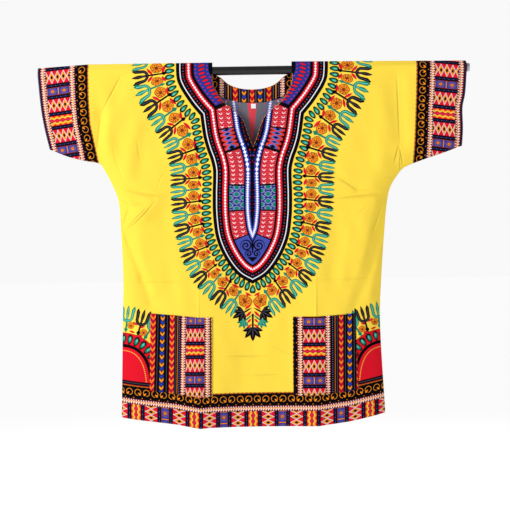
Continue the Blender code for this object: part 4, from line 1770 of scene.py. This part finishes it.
# %% Prints of the pockets and the facings
STRIPES = "edge braid panels braid dots line cord arrows cord darts cord arrows".split()
STRIPE_BRAID = 12.2  # this much of the braid, in its own millimetres, fills a stripe
STRIPE_WIDTHS = {
    "pocket_left": (4.0, 13.0, 37.5, 11.0, 5.6, 1.8, 6.2, 9.4, 10.9, 9.4, 10.0, 10.5),
    "pocket_right": (10.7, 11.8, 45.4, 10.8, 8.6, 1.6, 7.4, 8.4, 8.9, 9.4, 9.4, 12.7),
}
POCKET_INNER = {"pocket_left": 83.0, "pocket_right": 81.0}  # distance of the inner edge from the middle
# How much wider the stripes are a millimetre lower.
POCKET_SPREAD = {"pocket_left": 0.00024, "pocket_right": 0.0}
POCKET_PANELS_AT = {"pocket_left": 576.0, "pocket_right": 581.5}  # depth of the waves' middle


@motif
def ragged_edge(across, along, width):
    """What is left of the border's rings beside a seam: black, with beads by the braid and a ragged start."""
    ragged = across + 0.3 * mirrored(along, RING_PITCH / 2) - 2.6
    bead = distance(across - width + 1.6, repeat(along, RING_PITCH))
    colour = flat_colour(across, BLACK).inked(ORANGE, inside(bead - 1.0))
    return {"colour": colour.inked(BROWN, inside(ragged - 1.0)).inked(YELLOW, inside(ragged))}


def striped(across, along, widths):
    """Stripes side by side, outward from the inner edge."""
    colour = flat_colour(across, BLACK)
    place = 0
    for kind, width in zip(STRIPES, widths):
        middle = across - (place + width / 2)
        if kind == "edge":
            stripe = ragged_edge(across - place, along, width)
        elif kind == "braid":
            stripe = braid(middle * (STRIPE_BRAID / width), along)
        elif kind == "panels":
            stripe = panel_row((across - place) * (PANEL_WIDTH / width), along)
        elif kind == "dots":
            stripe = dots(middle, along)
        elif kind == "line":
            stripe = flat_colour(across, BROWN).inked(ORANGE, 0.6 * inside(abs(middle) - 0.5, 0.5))
        elif kind == "arrows":
            stripe = arrows(middle, along)
        elif kind == "darts":
            stripe = darts(middle, along)
        else:
            stripe = cord(middle)
        colour = colour.inked(stripe, inside(place - across))
        place += width
    return colour


def pocket_drawing(name):
    """The drawing function of one pocket."""

    def draw(tree):
        sideways, depth = map_pair(tree, "flat")
        inner = POCKET_INNER[name]
        out = (abs(sideways) - inner) / (1 + POCKET_SPREAD[name] * (depth - POCKET_PANELS_AT[name]))
        return striped(out, depth - POCKET_PANELS_AT[name], STRIPE_WIDTHS[name])

    return draw


def facing_drawing(tree):
    """The striped band from next to the border, which runs down the middle of the facings."""
    sideways, depth = map_pair(tree, "flat")
    out = abs(sideways)
    colour = flat_colour(out, BLACK)
    colour = colour.inked(GREY, inside(abs(abs(abs(out - 26.0) - 9.2) - 8.9) - 0.8, 0.6))
    colour = colour.inked(arrows(out, depth), inside(out - 4.4))
    colour = colour.inked(darts(out - 16.8, depth), inside(abs(out - 16.8) - 4.8))
    colour = colour.inked(arrows(out - 35.0, depth), inside(abs(out - 35.0) - 4.6))
    colour = colour.inked(ORANGE, inside(abs(out - 49.6) - 0.9))
    colour = colour.inked(dots(out - 54.6, depth), inside(abs(out - 54.6) - 2.2))
    colour = colour.inked(braid(out - 63.2, depth), inside(abs(out - 63.2) - 5.4))
    return colour.inked(rings(out - 79.0, depth), inside(69.5 - out))


for name, widths in STRIPE_WIDTHS.items():
    print("the stripes of", name, "are", round(sum(widths), 1), "mm wide together")

# %% All the materials
FADED = 0.22  # how much of the pale cotton shows through black on the wrong side

wrong = [cotton(draw.__name__ + "_wrong_side", draw, FADED) for draw in drawings]
pocket_cottons = {name: cotton(name + "_print", pocket_drawing(name)) for name in STRIPE_WIDTHS}
facing_cotton = cotton("facing_print", facing_drawing)
dull = ink(120, 100, 90)
wrong_cotton = cotton("wrong_side", lambda tree: flat_colour(map_pair(tree, "flat")[0], dull))


def simple_material(name, colour, roughness, metallic=0.0):
    """A material of one colour, without a weave."""
    material = bpy.data.materials.new(name)
    material.use_nodes = True
    shader = material.node_tree.nodes["Principled BSDF"]
    shader.inputs["Base Color"].default_value = (*colour, 1)
    shader.inputs["Roughness"].default_value = roughness
    shader.inputs["Metallic"].default_value = metallic
    return material


edge_print = simple_material("edge_print", ORANGE, 0.8)
label_tape = simple_material("label_tape", WHITE, 0.7)
rod_paint = simple_material("rod_paint", ink(7, 5, 8), 0.32)
rod_steel = simple_material("rod_steel", ink(176, 176, 180), 0.38, 1.0)
thread_black = simple_material("thread_black", BLACK, 0.6)
print("materials:", len(bpy.data.materials))

# %% [markdown]
# ## From a net to a piece of cotton
#
# A real panel is one layer of cotton, so the net only has to get a wall. Solidify gives it one on the side
# that the faces look to, and gives the wrong side of the cloth its own materials. The modifier is then
# applied, because the finished piece also gets a map for baking: the right side takes most of it, and the
# wrong side a strip.

# %% Build a shell
BAKE_FILL = 0.98  # the wrong side fills this much of its strip, so the two sides stay apart


def bake_map(mesh, wrong_side_from, wrong_share):
    """A map without overlaps: the right side at the top, and the wrong side in a strip below it."""
    count = len(mesh.polygons)
    corners = np.empty(len(mesh.loops), np.int32)
    mesh.loops.foreach_get("vertex_index", corners)
    points = np.empty(3 * len(mesh.vertices), np.float32)
    mesh.vertices.foreach_get("co", points)
    points = points.reshape(-1, 3)[corners]
    material = np.empty(count, np.int32)
    mesh.polygons.foreach_get("material_index", material)
    sides = np.empty(count, np.int32)
    mesh.polygons.foreach_get("loop_total", sides)
    wrong = np.repeat(material >= wrong_side_from, sides)
    low, high = points.min(axis=0), points.max(axis=0)
    place = (points - low) / (high - low)
    strip = BAKE_FILL * wrong_share * place[:, 2]
    height = np.where(wrong, strip, wrong_share + (1 - wrong_share) * place[:, 2])
    layer = mesh.uv_layers.new(name="OFBake")
    layer.data.foreach_set("uv", np.stack([place[:, 0], height], axis=-1).astype(np.float32).ravel())


def cotton_piece(name, points, faces, thickness, materials, wrong_materials, zones=None, maps=None):
    """A shell of cotton on a net of points, with the print's maps. Zones choose each face's material."""
    used = np.unique(faces)
    place = np.zeros(len(points), int)
    place[used] = np.arange(len(used))
    mesh = bpy.data.meshes.new(name)
    mesh.from_pydata(points[used].tolist(), [], place[faces].tolist())
    for material in (*materials, *wrong_materials):
        mesh.materials.append(material)
    if zones is not None:
        mesh.polygons.foreach_set("material_index", zones.astype(np.int32))
    for map_name, values in (maps or {}).items():
        layer = mesh.uv_layers.new(name=map_name)
        layer.data.foreach_set("uv", values.astype(np.float32).ravel())
    mesh.shade_smooth()
    piece = bpy.data.objects.new(name, mesh)
    scene.collection.objects.link(piece)
    wall = piece.modifiers.new("wall", "SOLIDIFY")
    wall.thickness = thickness
    wall.offset = 1
    wall.use_even_offset = True
    wall.material_offset = len(materials)
    finished = bpy.data.meshes.new_from_object(piece.evaluated_get(bpy.context.evaluated_depsgraph_get()))
    piece.modifiers.clear()
    piece.data = finished
    finished.name = name
    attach(piece, "root")
    return piece


def zone_maps(faces, zones, places):
    """The values of the flat map and the four guide maps at each corner of each face."""
    maps = {"flat": places["flat"][faces]}
    for number, map_name in enumerate(MAP_NAMES):
        values = np.zeros((*faces.shape, 2))
        for zone, sources in ZONE_MAPS.items():
            chosen = zones == zone
            values[chosen] = places[sources[number]][faces[chosen]]
        maps[map_name] = values
    return maps


print("the cotton's wall is", round(1000 * SHELL, 2), "mm")

# %% The front and the back
FRONT_WRONG_SHARE = 0.13  # shares of the map for baking that go to the wrong side
BACK_WRONG_SHARE = 0.28  # larger, as the inside of the back shows in the neck
SMALL_WRONG_SHARE = 0.1  # for pockets and facings

front_maps = zone_maps(front_faces, front_zones, front_places)
back_maps = zone_maps(back_faces, back_zones, back_places)
front_cotton = cotton_piece(
    "front_cotton", front.points, front_faces, SHELL, printed, wrong, front_zones, front_maps
)
back_cotton = cotton_piece(
    "back_cotton", back.points, back_faces, SHELL, printed, wrong, back_zones, back_maps
)
bake_map(front_cotton.data, len(printed), FRONT_WRONG_SHARE)
bake_map(back_cotton.data, len(printed), BACK_WRONG_SHARE)
for piece, node in ((front_cotton, "front"), (back_cotton, "back")):
    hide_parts(node)
    print(piece.name, "has", sum(len(face.vertices) - 2 for face in piece.data.polygons), "triangles")

# %% [markdown]
# ## Pockets
#
# Each pocket is a patch of the border print, sewn on over the front. A net of its own would cut through the
# front's ridges. So it takes a stretch of the front's net, lifted by the gap that two layers keep.

# %% The pockets
POCKET_COLUMNS = (4 * BODY_SPLIT, 10 * BODY_SPLIT)
POCKET_SHARES = (0.573, 0.873)  # the mouth and the foot, as shares of the way from armpits to hem
POCKET_TOP, POCKET_FOOT = (
    ARMPIT_LINE + sum(LOWER_SPLIT[: LOWER_ROWS.index(share)]) for share in POCKET_SHARES
)
POCKET_ROWS = (POCKET_TOP, POCKET_FOOT + 1)

over_front = front.lifted(SHELL + GAP)
pockets = {}
for half, name in ((-1, "pocket_left"), (1, "pocket_right")):
    columns = POCKET_COLUMNS if half > 0 else (-POCKET_COLUMNS[1], -POCKET_COLUMNS[0])
    faces = front.faces(POCKET_ROWS, columns)
    maps = {"flat": front_places["flat"][faces]}
    cottons = ([pocket_cottons[name]], [wrong_cotton])
    pocket = cotton_piece(name + "_cotton", over_front, faces, SHELL, *cottons, maps=maps)
    bake_map(pocket.data, 1, SMALL_WRONG_SHARE)
    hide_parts(name)
    pockets[name] = pocket
print("rows of a pocket:", POCKET_ROWS, "columns:", POCKET_COLUMNS)

# %% [markdown]
# ## Facings, label and rod
#
# The neck is faced on the inside with a strip of printed cotton, and a narrow roll of it turns over the
# edge. A small bare label of woven tape is sewn in under the back facing. The rod is painted black, apart
# from its worn right end. The facings use the panels' own net again, so they follow every crease.

# %% The facings of the neck
FACING_ROWS = (WRAP_ROWS, WRAP_ROWS + sum(UPPER_SPLIT[:2]))
facings = {}
for panel, places in ((front, front_places), (back, back_places)):
    name = panel.name + "_neck_facing"
    faces = panel.faces(FACING_ROWS, (-NECK_COLUMN, NECK_COLUMN))[:, ::-1]
    maps = {"flat": places["flat"][faces]}
    cottons = ([facing_cotton], [wrong_cotton])
    facing = cotton_piece(name + "_cotton", panel.lifted(-GAP), faces, SHELL, *cottons, maps=maps)
    bake_map(facing.data, 1, SMALL_WRONG_SHARE)
    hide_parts(name)
    facings[panel.name] = facing
print("rows of a facing:", FACING_ROWS)

# %% The roll at the edge of the neck
ROLL_RADIUS = 0.0008
ROLL_SIDES = 8
ROLL_MARKS = {"front": 3, "back": 4}  # every third or fourth step of a roll is black


def smooth_piece(name, points, faces, material):
    """A smooth piece of one material, which stays with the shirt."""
    mesh = bpy.data.meshes.new(name)
    mesh.from_pydata(points.reshape(-1, 3).tolist(), [], faces)
    mesh.shade_smooth()
    mesh.materials.append(material)
    piece = bpy.data.objects.new(name, mesh)
    scene.collection.objects.link(piece)
    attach(piece, "root")
    return piece


def tube(name, path, radius, sides, material):
    """A closed tube along a path of points."""
    path = np.array(path)
    heading = np.gradient(path, axis=0)
    heading /= np.linalg.norm(heading, axis=1, keepdims=True)
    across = np.cross(heading, (0, 1, 0.01))
    across /= np.linalg.norm(across, axis=1, keepdims=True)
    other = np.cross(heading, across)
    turn = np.linspace(0, math.tau, sides, endpoint=False)[None, :, None]
    rings = path[:, None] + radius * (np.cos(turn) * across[:, None] + np.sin(turn) * other[:, None])
    last = (len(path) - 1) * sides
    faces = [list(range(sides))[::-1], [last + side for side in range(sides)]]
    for ring in range(0, last, sides):
        for side in range(sides):
            near, far = ring + side, ring + (side + 1) % sides
            faces.append((near, far, far + sides, near + sides))
    return smooth_piece(name, rings, faces, material)


for panel in (front, back):
    middle = panel.lifted(-GAP / 2)
    edge = [middle[panel.number[WRAP_ROWS, column]] for column in range(-NECK_COLUMN, NECK_COLUMN + 1)]
    roll = tube(panel.name + "_neck_roll", edge, ROLL_RADIUS, ROLL_SIDES, edge_print)
    roll.data.materials.append(thread_black)
    steps = np.maximum(np.arange(len(roll.data.polygons)) - 2, 0) // ROLL_SIDES
    black = (steps % ROLL_MARKS[panel.name] == 0).astype(np.int32)
    roll.data.polygons.foreach_set("material_index", black)
    print(roll.name, "has", len(roll.data.polygons), "faces")

# %% [markdown]
# ## Stitches
#
# The hem, the cuffs, the neck and the pockets are sewn by machine. Each stitch is a short thread that comes
# up out of the cotton, lies on it and goes back in. A bump would do from afar, but only real threads keep
# their edge when seen from the side.

# %% Rows of stitches
STITCH = 0.0026  # length of a stitch
STITCH_PITCH = 0.0033
STITCH_SHARES = np.array([0, 0.2, 0.8, 1])  # where its thread bends
THREAD_RADIUS = 0.00022
THREAD_SIDES = 5
THREAD_LIFT = 0.00035


def net_line(panel, points, rows, columns):
    """Points of a net along one row or one column."""
    return np.array([points[panel.number[row, column]] for row in rows for column in columns])


def stitches(name, under, over, slot):
    """Stitches on two lines of points: a thread leaves the lower one, follows the upper one and returns."""
    lengths = np.concatenate([[0], np.cumsum(np.linalg.norm(np.diff(over, axis=0), axis=1))])
    count = int(lengths[-1] / STITCH_PITCH)
    places = np.arange(count)[:, None] * STITCH_PITCH + STITCH * STITCH_SHARES
    low, high = (
        np.stack([np.interp(places, lengths, line[:, axis]) for axis in range(3)], axis=-1)
        for line in (under, over)
    )
    middle = high.copy()
    middle[:, [0, -1]] = low[:, [0, -1]]
    ahead = high[:, -1:] - high[:, :1]
    ahead /= np.linalg.norm(ahead, axis=-1, keepdims=True)
    up = high - low
    up /= np.linalg.norm(up, axis=-1, keepdims=True)
    side = np.cross(ahead, up)
    turn = np.linspace(0, math.tau, THREAD_SIDES, endpoint=False)[:, None]
    outward = np.cos(turn) * side[:, :, None] + np.sin(turn) * up[:, :, None]
    rings = middle[:, :, None] + THREAD_RADIUS * outward
    faces = []
    to_last_ring = (len(STITCH_SHARES) - 1) * THREAD_SIDES
    for first in range(0, count * len(STITCH_SHARES) * THREAD_SIDES, len(STITCH_SHARES) * THREAD_SIDES):
        last = first + to_last_ring
        faces.append([first + corner for corner in range(THREAD_SIDES)])
        faces.append([last + corner for corner in reversed(range(THREAD_SIDES))])
        for ring in range(first, last, THREAD_SIDES):
            for corner in range(THREAD_SIDES):
                near, far = ring + corner, ring + (corner + 1) % THREAD_SIDES
                faces.append((far, near, near + THREAD_SIDES, far + THREAD_SIDES))
    piece = smooth_piece(name, rings, faces, thread_black)
    return piece


def sew(owner, line_name, cloth, rows, columns, slot):
    """Sews one row of stitches onto the piece that owns it, through a panel's net at two heights."""
    panel, *heights = cloth
    under, over = (net_line(panel, points, rows, columns) for points in heights)
    sewn[owner].append(stitches(f"{owner}_{line_name}_stitches", under, over, slot))


HEM_STITCHES = HEM_LINE - 5
CUFF_STITCHES = LAST_COLUMN - 3
NECK_STITCHES = WRAP_ROWS + 2
sewn = {"front": [], "back": [], "pocket_left": [], "pocket_right": []}
for panel in (front, back):
    cloth = (panel, panel.lifted(SHELL - THREAD_LIFT), panel.lifted(SHELL + THREAD_LIFT / 2))
    hem_columns = range(1 - ARMPIT_COLUMN, ARMPIT_COLUMN)
    neck_columns = range(-NECK_COLUMN, NECK_COLUMN + 1)
    cuff_rows = range(WRAP_ROWS, ARMPIT_LINE)
    sew(panel.name, "hem", cloth, [HEM_STITCHES], hem_columns, "printed_cotton")
    sew(panel.name, "neck", cloth, [NECK_STITCHES], neck_columns, "printed_cotton")
    sew(panel.name, "left_cuff", cloth, cuff_rows, [-CUFF_STITCHES], "printed_cotton")
    sew(panel.name, "right_cuff", cloth, cuff_rows, [CUFF_STITCHES], "printed_cotton")

POCKET_LIFT = 2 * SHELL + GAP
cloth = (front, front.lifted(POCKET_LIFT - THREAD_LIFT), front.lifted(POCKET_LIFT + THREAD_LIFT / 2))
for half, name in ((-1, "pocket_left"), (1, "pocket_right")):
    first, last = sorted(half * column for column in POCKET_COLUMNS)
    rows = range(POCKET_ROWS[0] + 1, POCKET_ROWS[1])
    columns = range(first + 1, last)
    sew(name, "first_side", cloth, rows, [first + 1], "pocket_cotton")
    sew(name, "second_side", cloth, rows, [last - 1], "pocket_cotton")
    sew(name, "mouth", cloth, [POCKET_ROWS[0] + 4], columns, "pocket_cotton")
    sew(name, "foot", cloth, [POCKET_ROWS[1] - 1], columns, "pocket_cotton")
print("rows of stitches:", sum(len(rows) for rows in sewn.values()))

# %% The label
LABEL = 0.010  # length of a side
LABEL_X = 0.002
LABEL_TOP = -0.0675
LABEL_CELLS = 12
LABEL_WALL = 0.0006

label_rows = np.linspace(LABEL_TOP, LABEL_TOP - LABEL, LABEL_CELLS + 1)
label_columns = np.linspace(LABEL_X - LABEL / 2, LABEL_X + LABEL / 2, LABEL_CELLS + 1)
label_x, label_z = (grid.ravel() for grid in np.meshgrid(label_columns, label_rows))
label_y = seam_plane(label_z) + hang_depth("back", label_x, label_z, CLOTH - SHELL) - GAP
label_points = np.stack([label_x, label_y, label_z], axis=-1)
across = LABEL_CELLS + 1
label_faces = np.array(
    [
        (first, first + across, first + across + 1, first + 1)
        for row in range(LABEL_CELLS)
        for first in range(row * across, row * across + LABEL_CELLS)
    ]
)
label = cotton_piece("label_cotton", label_points, label_faces, LABEL_WALL, [label_tape], [label_tape])
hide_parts("label")
print("the label is", round(1000 * LABEL, 1), "mm square")

# %% The rod
ROD_STEPS = 64
ROD_BEVEL = 0.0012
BARE_END = 0.005  # the paint is worn off the end of the rod
PAINT_WALL = 0.0003


def round_bar(name, start, end, radius, material):
    """A round bar along the rod's axis with rounded ends."""
    bpy.ops.mesh.primitive_cylinder_add(
        vertices=ROD_STEPS,
        radius=radius,
        depth=end - start,
        location=((start + end) / 2, 0, 0),
        rotation=(0, math.pi / 2, 0),
    )
    bar = bpy.context.object
    bar.name = bar.data.name = name
    rounding = bar.modifiers.new("rounded_ends", "BEVEL")
    rounding.width = ROD_BEVEL
    rounding.segments = 4
    rounding.limit_method = "ANGLE"
    bar.data.shade_smooth()
    bar.data.materials.append(material)
    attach(bar, "root")
    return bar


rod = round_bar("rod_painted", ROD_LEFT, ROD_RIGHT - BARE_END, ROD_RADIUS, rod_paint)
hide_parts("rod")
round_bar("rod_bare_end", ROD_RIGHT - 2 * BARE_END, ROD_RIGHT, ROD_RADIUS - PAINT_WALL, rod_steel)
print("the bare end is", round(1000 * BARE_END, 1), "mm long")

# %% [markdown]
# ## Sizes
#
# The front and the back hang from the rod, and the rest is laid on them. The box of the finished shirt is
# kept next to the box of the plain solids.

low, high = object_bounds()
boxes = {"cad": [list(corner) for corner in CAD_BOX], "scene": [list(low), list(high)]}
print("box of the finished shirt:", [round(1000 * (b - a), 1) for a, b in zip(low, high)], "mm")
